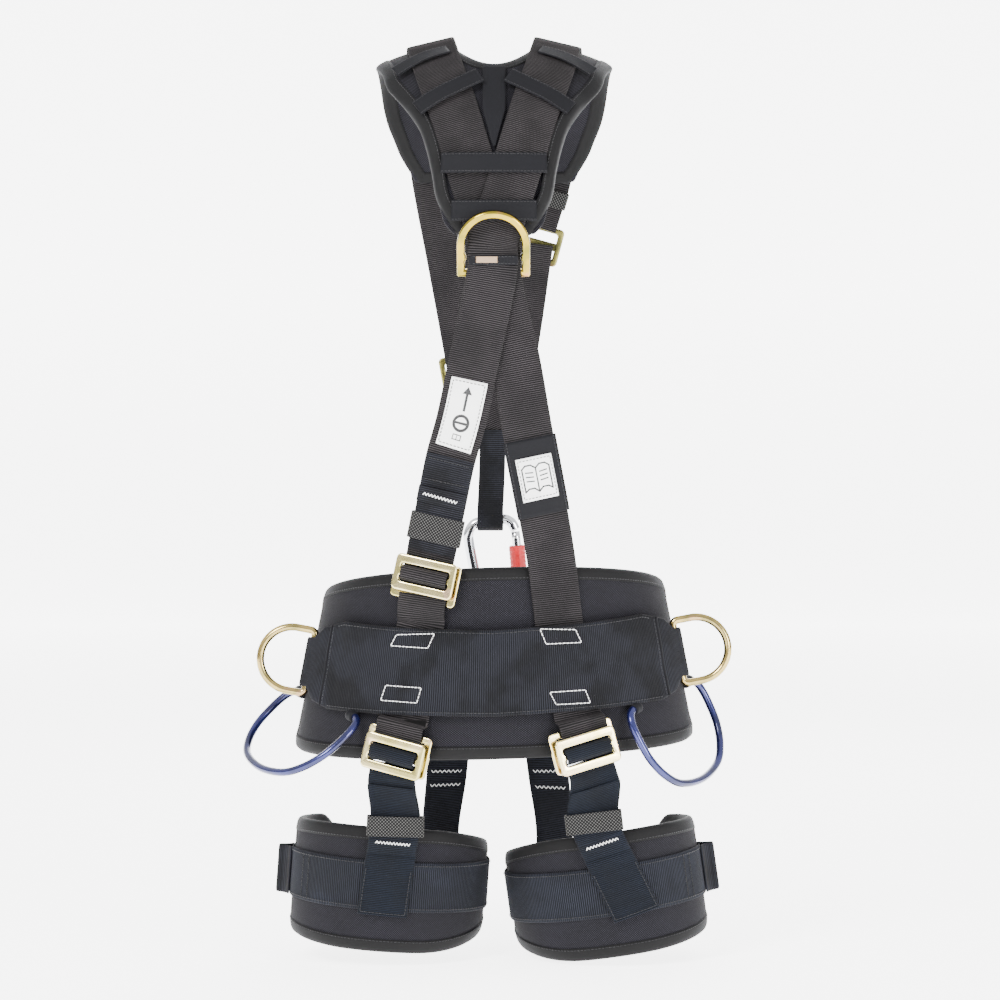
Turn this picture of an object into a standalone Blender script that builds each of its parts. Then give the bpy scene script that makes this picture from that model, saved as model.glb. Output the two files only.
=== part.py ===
"""Tree climbing saddle: a full-body harness with a padded yoke, positioning belt and leg loops.

The wearer faces +Y and the back of the harness is towards -Y. The origin is the centre of the wearer's
waist at the middle of the belt's height. Lengths in this file are in millimetres and become metres
when a mesh or curve is made.
"""
import bmesh
import bpy
import math
from mathutils import Matrix, Vector

MM = 0.001
OBJECT_NAME = "tree_climbing_saddle"

# webbing
WEB_WIDTH = 45.0
WEB_THICK = 2.0
BAND_THICK = 1.2
LOOP_WIDTH = 25.0

# layers of the back, as distances out from the body's surface
PAD_THICK = 8.0
BAND_LAYER = 17.0

# the body's centre profile (y, z): up the back, over the shoulder and down to the breastbone
PROFILE = [
    (-122, -260), (-124, -160), (-130.7, -90), (-124, 0), (-118, 80), (-122, 180), (-128, 280),
    (-131, 350), (-128, 410), (-117, 460), (-96, 505), (-60, 545), (-5, 566), (32, 556),
    (62, 530), (84, 485), (98, 430), (109, 340), (113, 260), (113, 190),
]
# half width of the body's oval section at each height (z, half width)
HALF_WIDTHS = [(-150, 202), (-90, 189.5), (80, 155.5), (200, 190), (300, 200)]
SHOULDER_SLOPE = 0.0021

# belt
BELT_HALF_WIDTH = 171.5
BELT_WIDTH_TAPER = 0.2
BELT_HALF_DEPTH = 124.0
BELT_DEPTH_TAPER = 0.075
BELT_ROLL = 0.028
RING_ARC_RADIUS = 129.0
BELT_PAD_THICK = 11.0
PAD_END = 98.0
RING_PLACE = 72.0
BELT_BUCKLE_PLACE = 148.0

# side rings: a D of round bar, its straight bar held in the belt band
RING_BAR = 3.5
RING_HALF_HEIGHT = 29.3
RING_STRAIGHT = 17.0
RING_CORNER = 5.0
RING_STANDOFF = 6.6

# gear rings: an open hoop of round bar, hung by its two short ends
GEAR_BAR = 3.6
GEAR_DEPTH = 85.0
GEAR_BULGE = 8.0
GEAR_STUB = 9.0
GEAR_REAR = (41.0, -50.5, 7.6)
GEAR_FRONT = (88.0, -29.5, 7.6)
GEAR_HANG = {"left": 0.0, "right": 24.0}

# pass-through buckles: a front plate over a wider frame
PLATE_SIZE = (58.0, 33.0)
ADJUSTER_SIZE = (58.0, 37.0)
PLATE_SLOT = (46.0, 16.0)
PLATE_BAR = 5.0
PLATE_THICK = 4.0
PLATE_LAYER = 13.2
FRAME_SIZE = (62.0, 38.0)
FRAME_HOLE = (49.5, 26.0)
FRAME_LAYER = 4.8
FRAME_SHIFT = 4.0

# dorsal ring: a forged horseshoe with a cross bar behind the straps
DORSAL_HALF_WIDTH = 32.5
DORSAL_HEIGHT = 62.0
DORSAL_BAR = 7.0
DORSAL_LEAN = 25.0
DORSAL_PLACE = (-0.4, 347.0, 4.6)

# carabiner: down is measured from the middle of its top bar along its axis
CARABINER_TOP = Vector((-4.0, 115.5, 124.5))
CARABINER_FOOT = Vector((10.0, 125.0, 27.5))
CARABINER_BAR = 5.0
GATE_BAR = 4.3
SLEEVE_RADIUS = 8.0
SLEEVE_BORE = 5.0

# leg loops: centre (x, y, z), tilt in degrees about Y
LEGS = {
    "left": {"centre": Vector((-97.0, -28.0, -206.0)), "tilt": 4.0, "sign": -1},
    "right": {"centre": Vector((103.0, -28.0, -211.0)), "tilt": -8.0, "sign": 1},
}
LEG_RADII = (89.0, 86.0)
LEG_PAD_THICK = 9.0

COLOURS = {
    "webbing": ((0.030, 0.027, 0.026), 0.75, 0.0),
    "smooth_band": ((0.016, 0.016, 0.019), 0.7, 0.0),
    "pad": ((0.022, 0.020, 0.019), 0.85, 0.0),
    "elastic": ((0.16, 0.16, 0.15), 0.8, 0.0),
    "label": ((0.75, 0.75, 0.72), 0.6, 0.0),
    "gold_steel": ((0.72, 0.62, 0.30), 0.3, 1.0),
    "pale_steel": ((0.82, 0.78, 0.62), 0.3, 1.0),
    "blue_alloy": ((0.03, 0.05, 0.22), 0.25, 0.6),
    "bright_steel": ((0.75, 0.76, 0.78), 0.15, 1.0),
    "red_plastic": ((0.75, 0.03, 0.03), 0.35, 0.0),
}


# ---------------------------------------------------------------- small maths
def blend(a, b, t):
    return a + (b - a) * t


def smoothstep(low, high, x):
    t = min(1.0, max(0.0, (x - low) / (high - low)))
    return t * t * (3 - 2 * t)


def table(rows, x):
    """Straight-line reading of a short table of (x, value) rows."""
    if x <= rows[0][0]:
        return rows[0][1]
    for (x0, y0), (x1, y1) in zip(rows, rows[1:]):
        if x <= x1:
            return blend(y0, y1, (x - x0) / (x1 - x0))
    return rows[-1][1]


def smooth(points, per_span):
    """A Catmull-Rom curve through points of any dimension."""
    if len(points) < 2:
        return list(points)
    first = [2 * a - b for a, b in zip(points[0], points[1])]
    last = [2 * a - b for a, b in zip(points[-1], points[-2])]
    keys = [first, *points, last]
    out = []
    for i in range(len(points) - 1):
        p0, p1, p2, p3 = keys[i:i + 4]
        for k in range(per_span):
            t = k / per_span
            out.append(tuple(
                0.5 * (2 * b + (c - a) * t + (2 * a - 5 * b + 4 * c - d) * t * t
                       + (3 * b - a - 3 * c + d) * t ** 3)
                for a, b, c, d in zip(p0, p1, p2, p3)
            ))
    out.append(tuple(points[-1]))
    return out


# ---------------------------------------------------------------- the body's surfaces
PROFILE_LINE = smooth(PROFILE, 20)
PROFILE_LENGTHS = [0.0]
for start, end in zip(PROFILE_LINE, PROFILE_LINE[1:]):
    PROFILE_LENGTHS.append(PROFILE_LENGTHS[-1] + math.dist(start, end))
RIDGE = max(range(len(PROFILE_LINE)), key=lambda i: PROFILE_LINE[i][1])
BACK_TABLE = [(PROFILE_LINE[i][1], PROFILE_LENGTHS[i]) for i in range(RIDGE + 1)]
FRONT_TABLE = [(PROFILE_LINE[i][1], PROFILE_LENGTHS[i])
               for i in range(len(PROFILE_LINE) - 1, RIDGE - 1, -1)]
Y_TABLE = [(s, p[0]) for s, p in zip(PROFILE_LENGTHS, PROFILE_LINE)]
Z_TABLE = [(s, p[1]) for s, p in zip(PROFILE_LENGTHS, PROFILE_LINE)]


def back(z):
    """Distance along the profile of a height on the back."""
    return table(BACK_TABLE, z)


def front(z):
    """Distance along the profile of a height on the chest."""
    return table(FRONT_TABLE, z)


def body(x, s):
    y = table(Y_TABLE, s)
    z = table(Z_TABLE, s)
    oval = math.sqrt(1 - (x / table(HALF_WIDTHS, z)) ** 2)
    drop = SHOULDER_SLOPE * x * x * smoothstep(430, 540, z)
    return Vector((x, y * oval, z - drop))


def body_normal(x, s):
    across = body(x + 2, s) - body(x - 2, s)
    along = body(x, s + 2) - body(x, s - 2)
    return across.cross(along).normalized()


def torso(x, s, out):
    return body(x, s) + body_normal(x, s) * out


def belt(angle, z, out):
    """A point on the belt: angle in degrees from the back, positive to +X."""
    turn = math.radians(angle)
    x = (BELT_HALF_WIDTH - BELT_WIDTH_TAPER * z) * math.sin(turn)
    y = -(BELT_HALF_DEPTH - BELT_DEPTH_TAPER * z) * math.cos(turn)
    return Vector((x, y, z + BELT_ROLL * x)) + belt_normal(angle, z) * out


def belt_normal(angle, z):
    turn = math.radians(angle)
    wide = BELT_HALF_WIDTH - BELT_WIDTH_TAPER * z
    deep = BELT_HALF_DEPTH - BELT_DEPTH_TAPER * z
    rise = (BELT_DEPTH_TAPER * wide * math.cos(turn) ** 2
            + BELT_WIDTH_TAPER * deep * math.sin(turn) ** 2)
    return Vector((math.sin(turn) * deep, -math.cos(turn) * wide, rise)).normalized()


def leg(side, angle, height, out):
    """A point on a leg loop: angle in degrees from the back, positive to the outer side."""
    data = LEGS[side]
    turn = math.radians(angle)
    local = Vector((
        data["sign"] * (LEG_RADII[0] + out) * math.sin(turn),
        -(LEG_RADII[1] + out) * math.cos(turn),
        height,
    ))
    return data["centre"] + Matrix.Rotation(math.radians(data["tilt"]), 3, "Y") @ local


# ---------------------------------------------------------------- making objects
for old in list(bpy.data.objects):
    bpy.data.objects.remove(old)
COLLECTION = bpy.data.collections.new(OBJECT_NAME)
bpy.context.scene.collection.children.link(COLLECTION)


def add_object(name, data, finish):
    obj = bpy.data.objects.new(name, data)
    COLLECTION.objects.link(obj)
    colour, roughness, metallic = COLOURS[finish]
    material = bpy.data.materials.new(name + "_material")
    material.use_nodes = True
    shader = material.node_tree.nodes["Principled BSDF"]
    shader.inputs["Base Color"].default_value = (*colour, 1)
    shader.inputs["Roughness"].default_value = roughness
    shader.inputs["Metallic"].default_value = metallic
    data.materials.append(material)
    return obj


def solidify(obj, thick):
    shell = obj.modifiers.new("thickness", "SOLIDIFY")
    shell.thickness = thick * MM
    shell.offset = 0


def panel(name, place, rows, cols, thick, finish, closed=False):
    """A sheet of thick material whose middle surface is place(u, w), with u and w from 0 to 1."""
    bm = bmesh.new()
    bmesh.ops.create_grid(bm, x_segments=rows, y_segments=cols, size=0.5)
    for vert in bm.verts:
        vert.co = place(vert.co.x + 0.5, vert.co.y + 0.5) * MM
    if closed:
        bmesh.ops.remove_doubles(bm, verts=bm.verts, dist=0.00001)
    mesh = bpy.data.meshes.new(name)
    bm.to_mesh(mesh)
    bm.free()
    obj = add_object(name, mesh, finish)
    solidify(obj, thick)
    return obj


def route_sides(points, normals):
    """The direction across a strap at each point, kept steady round tight folds."""
    sides = []
    for i, normal in enumerate(normals):
        ahead = points[min(i + 1, len(points) - 1)]
        behind = points[max(i - 1, 0)]
        side = (ahead - behind).normalized().cross(normal)
        if side.length < 0.4 and sides:
            side = sides[-1].copy()
        if sides and side.dot(sides[-1]) < 0:
            side.negate()
        sides.append(side.normalized())
    return sides


def smooth_route(stations, per_span):
    """Points, normals and sides of a strap from its (point, normal) stations."""
    rows = smooth([(*p, *n) for p, n in stations], per_span)
    points = [Vector(row[:3]) for row in rows]
    normals = [Vector(row[3:]).normalized() for row in rows]
    return points, normals, route_sides(points, normals)


def ribbon(name, stations, width, thick, finish, per_span=1):
    """Webbing along stations of (point, outward normal)."""
    points, _, sides = smooth_route(stations, per_span)
    last = len(points) - 1

    def place(u, w):
        i = round(u * last)
        return points[i] + sides[i] * (w - 0.5) * width

    return panel(name, place, last, 1, thick, finish)


def torso_stations(rows, per_span=3):
    """Stations from rows of (x, distance along the profile, distance out)."""
    return [(torso(x, s, out), body_normal(x, s)) for x, s, out in smooth(rows, per_span)]


def part_of(stations, start, end, lift, count=5):
    """Stations for a piece lying on a strap between two heights, lifted off its middle."""
    points, normals, _ = smooth_route(stations, 4)
    on_back = [(p, n) for p, n in zip(points, normals) if n.y < 0.2]
    heights = sorted(((p.z, tuple(p), tuple(n)) for p, n in on_back), key=lambda row: row[0])
    result = []
    for k in range(count):
        z = blend(start, end, k / (count - 1))
        point = Vector([table([(h, p[axis]) for h, p, _ in heights], z) for axis in range(3)])
        normal = Vector([table([(h, n[axis]) for h, _, n in heights], z) for axis in range(3)])
        normal.normalize()
        result.append((point + normal * lift, normal))
    return result


def rounded_outline(width, height, radius, steps=3):
    """Corner points of a rectangle with round corners, about its centre."""
    points = []
    for corner in range(4):
        cx = (width / 2 - radius) * (1 if corner in (0, 3) else -1)
        cy = (height / 2 - radius) * (1 if corner in (0, 1) else -1)
        for k in range(steps + 1):
            turn = math.radians(90 * (corner + k / steps))
            points.append((cx + radius * math.cos(turn), cy + radius * math.sin(turn)))
    return points


def shift(points, dx, dy):
    return [(x + dx, y + dy) for x, y in points]


def outline_plate(name, outlines, thick, matrix, finish):
    """A flat plate from 2D outlines, the first its edge and the rest its holes."""
    curve = bpy.data.curves.new(name, "CURVE")
    curve.dimensions = "2D"
    curve.fill_mode = "BOTH"
    curve.extrude = thick / 2 * MM
    for outline in outlines:
        spline = curve.splines.new("POLY")
        spline.points.add(len(outline) - 1)
        for point, (x, y) in zip(spline.points, outline):
            point.co = (x * MM, y * MM, 0, 1)
        spline.use_cyclic_u = True
    obj = add_object(name, curve, finish)
    obj.matrix_world = matrix
    return obj


def rod(name, points, radius, finish, cyclic=False, origin=None):
    """Round bar along points."""
    curve = bpy.data.curves.new(name, "CURVE")
    curve.dimensions = "3D"
    curve.bevel_depth = radius * MM
    curve.bevel_resolution = 2
    curve.use_fill_caps = not cyclic
    origin = origin or Vector((0, 0, 0))
    spline = curve.splines.new("POLY")
    spline.points.add(len(points) - 1)
    for point, co in zip(spline.points, points):
        point.co = (*((co - origin) * MM), 1)
    spline.use_cyclic_u = cyclic
    obj = add_object(name, curve, finish)
    obj.location = origin * MM
    return obj


def local_frame(point, normal, up):
    """Matrix with its X across, Y along up and Z along normal, at a point in millimetres."""
    normal = normal.normalized()
    up = (up - normal * up.dot(normal)).normalized()
    across = up.cross(normal)
    matrix = Matrix((across, up, normal)).transposed().to_4x4()
    matrix.translation = point * MM
    return matrix


def moved(matrix, across=0.0, up=0.0, out=0.0):
    return matrix @ Matrix.Translation(Vector((across, up, out)) * MM)


def frame_on(stations, height, lift=0.0):
    """Local frame on a back strap at a height, with its Y up the strap."""
    low, middle, high = part_of(stations, height - 4, height + 4, 0.0, 3)
    matrix = local_frame(middle[0], middle[1], high[0] - low[0])
    return moved(matrix, out=lift)


# ---------------------------------------------------------------- buckles and sleeves
def buckle_plate(name, matrix):
    """Front plate with a slot at each side of its centre bar; its origin is its hinge edge."""
    slot_height = (PLATE_SLOT[1] - PLATE_BAR) / 2
    offset = (PLATE_BAR + slot_height) / 2
    hinge = PLATE_SIZE[1] / 2
    slots = [
        shift(rounded_outline(PLATE_SLOT[0], slot_height, 1.5, 2), 0, up - hinge)
        for up in (-offset, offset)
    ]
    edge = shift(rounded_outline(*PLATE_SIZE, 4.5), 0, -hinge)
    return outline_plate(name, [edge, *slots], PLATE_THICK, moved(matrix, up=hinge), "pale_steel")


def buckle_frame(name, matrix, ears):
    """The wider frame behind the plate; ears is -1 where its free end points down, 1 up."""
    edge = rounded_outline(*FRAME_SIZE, 4.0)
    hole = rounded_outline(*FRAME_HOLE, 2.0, 2)
    return outline_plate(
        name, [edge, hole], PLATE_THICK, moved(matrix, up=ears * FRAME_SHIFT), "pale_steel"
    )


def strap_sleeve(name, matrix, width, height, wall, length, finish):
    """A flat sleeve round a strap, running along the matrix's Y."""
    edge = rounded_outline(width + 2 * wall, height + 2 * wall, min(wall, height / 2), 2)
    hole = rounded_outline(width, height, 0.6, 1)
    turned = matrix @ Matrix.Rotation(math.radians(-90), 4, "X")
    return outline_plate(name, [edge, hole], length, turned, finish)


# ---------------------------------------------------------------- shoulder straps
# (x, distance along the profile, distance out) from the chest over the shoulder and down the back
LEFT_STRAP = torso_stations([
    (-24, front(275), 2.4), (-33, front(325), 2.4), (-44, front(385), 4), (-53, front(435), 10.4),
    (-58, front(470), 10.4), (-60, front(520), 10.4), (-59, front(550), 11), (-56, back(562), 11),
    (-50, back(540), 9.7), (-38, back(501), 9.8), (-24.5, back(454), 9.8), (-11.5, back(412), 9.8),
    (-3.5, back(388), 10.4), (0.4, back(370), 10.4), (0.9, back(350), 10.4), (6, back(322), 10.4),
    (18, back(270), 9), (29, back(208), 7), (42, back(140), 4.5), (51, back(90), 2.4),
    (56, back(50), 1.9), (60, back(20), 1.9), (69, back(-20), 1.9), (74.5, back(-49), 1.9),
    (75.2, back(-52), 4.8), (76, back(-55.5), 10), (78, back(-63), 9.4), (80.5, back(-72), 8.8),
])
RIGHT_STRAP = torso_stations([
    (37, front(408), 6), (43, front(428), 10), (51, front(455), 10.4), (58, front(505), 10.2),
    (59, front(548), 11), (56, back(562), 11), (50, back(540), 10.8), (38, back(501), 11.8),
    (24.5, back(454), 12.8), (11.5, back(412), 13), (3.5, back(388), 14), (-0.6, back(370), 14),
    (-1.2, back(350), 14), (-6, back(322), 14), (-18, back(264), 13), (-28, back(216), 11.8),
    (-37.5, back(181), 10.5), (-45, back(144), 9.3), (-52, back(108), 8.5), (-58, back(78), 8.3),
    (-60, back(68), 8.3),
])
LOWER_STRAP = torso_stations([
    (-61.5, back(58), 8.3), (-63, back(48), 8.1), (-64.2, back(40), 5.0), (-65, back(33), 2.3),
    (-67, back(24), 1.9), (-71, back(0), 1.9), (-79, back(-51.5), 1.9), (-79.8, back(-54.5), 4.8),
    (-80.6, back(-57.5), 10.4), (-82, back(-64), 9.8), (-84.5, back(-74), 8.8),
])


def shoulder_straps():
    ribbon("shoulder_strap_left", LEFT_STRAP, WEB_WIDTH, WEB_THICK, "webbing")
    ribbon("shoulder_strap_right", RIGHT_STRAP, WEB_WIDTH, WEB_THICK, "webbing")
    ribbon("back_strap_lower", LOWER_STRAP, WEB_WIDTH, WEB_THICK, "webbing")


# ---------------------------------------------------------------- yoke
YOKE_BOTTOM = back(381)
YOKE_NECK = back(537)
YOKE_RIDGE = back(566)
YOKE_END = front(450)
YOKE_OUTER = [
    (back(381), 36), (back(390), 44), (back(417), 51), (back(446), 56), (back(476), 64), (back(505), 78),
    (back(535), 95), (YOKE_RIDGE, 108), (front(528), 102), (front(481), 89), (front(450), 76),
]
YOKE_INNER = [(YOKE_RIDGE, 39), (front(500), 34), (front(450), 30)]


def yoke_inner(s):
    """Half width of the gap between the pad's two arms: nothing below the neck."""
    if s <= YOKE_NECK:
        return 0.0
    if s < YOKE_RIDGE:
        rise = (YOKE_RIDGE - s) / (YOKE_RIDGE - YOKE_NECK)
        return YOKE_INNER[0][1] * math.sqrt(1 - rise ** 2)
    return table(YOKE_INNER, s)


def yoke_pad():
    lower_rows, neck_rows, front_rows = 12, 5, 11
    rows = lower_rows + neck_rows + front_rows

    def along(u):
        i = round(u * rows)
        if i <= lower_rows:
            return blend(YOKE_BOTTOM, YOKE_NECK, i / lower_rows)
        if i <= lower_rows + neck_rows:
            angle = math.radians(90 * (i - lower_rows) / neck_rows)
            return blend(YOKE_NECK, YOKE_RIDGE, 1 - math.cos(angle))
        return blend(YOKE_RIDGE, YOKE_END, (i - lower_rows - neck_rows) / front_rows)

    def place(u, w):
        s = along(u)
        x = blend(yoke_inner(s), table(YOKE_OUTER, s), w)
        return torso(x, s, PAD_THICK / 2)

    obj = panel("yoke_pad", place, rows, 5, PAD_THICK, "pad")
    mirror = obj.modifiers.new("mirror", "MIRROR")
    mirror.merge_threshold = 0.0001
    obj.modifiers.move(1, 0)


def yoke_bands():
    """Smooth tapes sewn over the straps on the yoke."""
    def band(name, rows, width):
        ribbon(name, torso_stations(rows, 2), width, BAND_THICK, "smooth_band")

    for side, sign in (("left", -1), ("right", 1)):
        band("yoke_shoulder_band_" + side, [
            (sign * 86, back(541), 13.4), (sign * 62, back(546), 14.3), (sign * 40, back(549), 13.4),
        ], 18)
        band("yoke_chevron_" + side, [
            (sign * 12, back(519), 16), (sign * 31, back(511), 16), (sign * 48, back(504), 16),
            (sign * 66, back(495), 15),
        ], 18)
    band("yoke_centre_band", [(0, back(530), 12), (0, back(512), 11.5), (0, back(492), 11.5)], 19)
    for name, z, half_width in (("yoke_upper_band", 441, 45), ("yoke_lower_band", 400, 36)):
        band(name, [
            (x, back(z), BAND_LAYER) for x in (-half_width, -half_width / 2, 0, half_width / 2, half_width)
        ], 19)


# ---------------------------------------------------------------- dorsal ring
def dorsal_ring():
    x, z, out = DORSAL_PLACE
    point = torso(x, back(z), out)
    normal = body_normal(x, back(z))
    upright = local_frame(point, normal, Vector((0, 0, 1)))
    matrix = upright @ Matrix.Rotation(math.radians(DORSAL_LEAN), 4, "X")
    outer = DORSAL_HALF_WIDTH
    inner = outer - DORSAL_BAR
    foot = -3.5
    centre = DORSAL_HEIGHT + foot - outer
    arch = [math.radians(15 * k) for k in range(13)]
    edge = [(outer, foot)] + [(outer * math.cos(a), centre + outer * math.sin(a)) for a in arch]
    edge.append((-outer, foot))
    hole = [(inner * math.cos(a), centre + inner * math.sin(a)) for a in arch]
    lug = inner - 1.1
    hole += [(-inner, 19), (-lug, 17), (-lug, 13), (-inner, 11), (-inner, 3)]
    hole += [(inner, 3), (inner, 11), (lug, 13), (lug, 17), (inner, 19)]
    outline_plate("dorsal_d_ring", [edge, hole], DORSAL_BAR, matrix, "gold_steel")


def dorsal_keeper():
    matrix = frame_on(RIGHT_STRAP, 357, 3.0)
    level = local_frame(matrix.translation / MM, matrix.col[2].to_3d(), Vector((0, 0, 1)))
    level.translation.x = DORSAL_PLACE[0] * MM
    outline_plate("dorsal_keeper", [rounded_outline(44, 8.5, 1.5, 2)], 1.6, level, "smooth_band")


# ---------------------------------------------------------------- back strap pieces
def back_pieces():
    ribbon("arrow_label", part_of(RIGHT_STRAP, 190, 251, 1.8), 33, 0.8, "label")
    ribbon("label_sleeve", part_of(LEFT_STRAP, 131, 199, 2.4), 48, 1.6, "smooth_band")
    ribbon("info_label", part_of(LEFT_STRAP, 145, 183, 4.0), 33, 0.8, "label")
    ribbon("back_strap_tail", part_of(RIGHT_STRAP, 97, 182, 2.6), 44, WEB_THICK, "webbing")
    keeper = frame_on(RIGHT_STRAP, 118, 1.3)
    strap_sleeve("back_keeper", keeper, 46.6, 6.4, 1.3, 24, "elastic")
    matrix = frame_on(RIGHT_STRAP, 75)
    point, normal = part_of(RIGHT_STRAP, 75, 76, 0, 2)[0]
    base = local_frame(point - normal * 8.3, normal, matrix.col[1].to_3d())
    buckle_plate("back_buckle_plate", moved(base, out=PLATE_LAYER))
    buckle_frame("back_buckle_frame", moved(base, out=FRAME_LAYER), -1)


# ---------------------------------------------------------------- belt
def belt_pad():
    def place(u, w):
        angle = blend(-PAD_END, PAD_END, u)
        share = abs(angle) / PAD_END
        corner = 16 * max(0.0, (share - 0.93) / 0.07) ** 2
        top = 83 - 21 * share ** 2 - corner
        bottom = -87 + 10 * share ** 2 + corner
        return belt(angle, blend(bottom, top, w), -1 - BELT_PAD_THICK / 2)

    panel("belt_pad", place, 32, 6, BELT_PAD_THICK, "pad")


BAND_TOP = [(0, 27), (30, 31), (52, 36), (63, 30), (68, 20.3)]
BAND_BOTTOM = [(0, -50), (30, -47), (55, -43), (63, -36), (68, -24.3)]


def belt_band():
    """Wide band over the pad, each end folded round a side ring's bar."""
    half = [(0, 7), (8, 7), (16, 7), (24, 7), (32, 7), (40, 7), (48, 7), (56, 7.2), (63, 9.4)]
    fold = [(-7.0, 4.6), (0, 5.4), (3.8, 3.8), (5.4, 0), (3.8, -3.8), (0, -5.4)]
    path = half + [
        (RING_PLACE + math.degrees(dx / RING_ARC_RADIUS), RING_STANDOFF + dy)
        for dx, dy in fold
    ]
    path += [(RING_PLACE - 4.5, 1.2), (RING_PLACE - 8, 1.0)]
    full = [(-a, out) for a, out in reversed(path[1:])] + path
    last = len(full) - 1

    def place(u, w):
        angle, out = full[round(u * last)]
        reach = max(abs(angle), 68) if out < 5 else abs(angle)
        return belt(angle, blend(table(BAND_BOTTOM, reach), table(BAND_TOP, reach), w), out)

    panel("belt_band", place, last, 4, WEB_THICK, "webbing")


def side_ring(side, sign):
    centre = belt(sign * RING_PLACE, -2, RING_STANDOFF)
    top = belt(sign * RING_PLACE, 23, RING_STANDOFF)
    up = (top - centre).normalized()
    outward = Vector((sign, 0, 0))
    outward = (outward - up * outward.dot(up)).normalized()
    points = []
    corner, high, straight = RING_CORNER, RING_HALF_HEIGHT, RING_STRAIGHT
    for k in range(4):
        turn = math.radians(180 + 30 * k)
        points.append((corner + corner * math.cos(turn), corner - high + corner * math.sin(turn)))
    for k in range(13):
        turn = math.radians(-90 + 15 * k)
        points.append((straight + high * math.cos(turn), high * math.sin(turn)))
    for k in range(4):
        turn = math.radians(90 + 30 * k)
        points.append((corner + corner * math.cos(turn), high - corner + corner * math.sin(turn)))
    placed = [centre + outward * r + up * h for r, h in points]
    rod("side_d_ring_" + side, placed, RING_BAR, "gold_steel", True, centre)


def gear_ring(side, sign):
    rear = belt(sign * GEAR_REAR[0], GEAR_REAR[1], GEAR_REAR[2])
    fore = belt(sign * GEAR_FRONT[0], GEAR_FRONT[1], GEAR_FRONT[2])
    chord = (fore - rear).normalized()
    span = (fore - rear).length
    level = Vector((sign, 0, -0.69))
    outward = (level - chord * level.dot(chord)).normalized()
    outward = Matrix.Rotation(math.radians(sign * GEAR_HANG[side]), 3, chord) @ outward
    half = [
        (GEAR_STUB, 0), (3, 0.6), (-3, 4), (-GEAR_BULGE + 1, 12), (-GEAR_BULGE, 26), (-5, 47),
        (6, 66), (25, 79.5),
    ]
    points = half + [(span / 2, GEAR_DEPTH)] + [(span - p, q) for p, q in reversed(half)]
    placed = [rear + chord * p + outward * q for p, q in smooth(points, 2)]
    rod("gear_ring_" + side, placed, GEAR_BAR, "blue_alloy", False, rear)


def belt_front():
    """Front webbing and its buckle, on the wearer's right."""
    def run(name, start, end, rows):
        def place(u, w):
            return belt(blend(start, end, u), -2 + (w - 0.5) * WEB_WIDTH, 1.9)

        panel(name, place, rows, 2, WEB_THICK, "webbing")

    place = BELT_BUCKLE_PLACE
    run("belt_strap_left", -79.5, place - 360 + 7.0, 24)
    run("belt_strap_right", 79.5, place - 8.5, 12)
    normal = belt_normal(place, -2)
    along = belt(place - 3, -2, 0) - belt(place + 3, -2, 0)
    base = local_frame(belt(place, -2, 0), normal, along)
    buckle_plate("belt_buckle_plate", moved(base, out=PLATE_LAYER) @ Matrix.Rotation(math.pi, 4, "Z"))
    buckle_frame("belt_buckle_frame", moved(base, out=FRAME_LAYER), 1)


# ---------------------------------------------------------------- chest, carabiner and front loops
def front_straps():
    left = torso_stations([
        (-21, front(262), 2.4), (-14, front(240), 2.0), (-6, front(220), 1.2), (0, front(206), 1.2),
        (2, front(196), 1.2),
    ])
    right = torso_stations([
        (34, front(392), 5.0), (31, front(370), 5.0), (24, front(320), 5.0), (15, front(265), 5.0),
        (8, front(230), 5.0), (0, front(206), 4.4), (-3, front(196), 4.4),
    ])
    ribbon("chest_strap_left", left, WEB_WIDTH, WEB_THICK, "webbing")
    ribbon("chest_strap_right", right, WEB_WIDTH, WEB_THICK, "webbing")
    for side, x, z, toward in (("left", -22.5, 268, (-33, 325)), ("right", 35, 393, (50, 450))):
        point = torso(x, front(z), 0)
        up = torso(toward[0], front(toward[1]), 0) - point
        base = local_frame(point, body_normal(x, front(z)), up)
        lift = 9.6 if side == "left" else 12.0
        hole = rounded_outline(47, 26, 2.0, 2)
        frame = [rounded_outline(*ADJUSTER_SIZE, 4.5), hole]
        outline_plate("chest_adjuster_" + side, frame, PLATE_THICK, moved(base, out=lift), "gold_steel")
        bar = [rounded_outline(54, 7.5, 2.0, 2)]
        outline_plate("adjuster_bar_" + side, bar, 3.0, moved(base, out=lift + 4.0), "gold_steel")


def chest_keeper():
    """Patterned elastic round the wearer's right front strap."""
    x, s = 45, front(437)
    up = torso(51, front(455), 10) - torso(37, front(408), 10)
    base = local_frame(torso(x, s, 10), body_normal(x, s), up)
    strap_sleeve("chest_keeper", base, 48.0, 6.4, 1.2, 16, "elastic")


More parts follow.
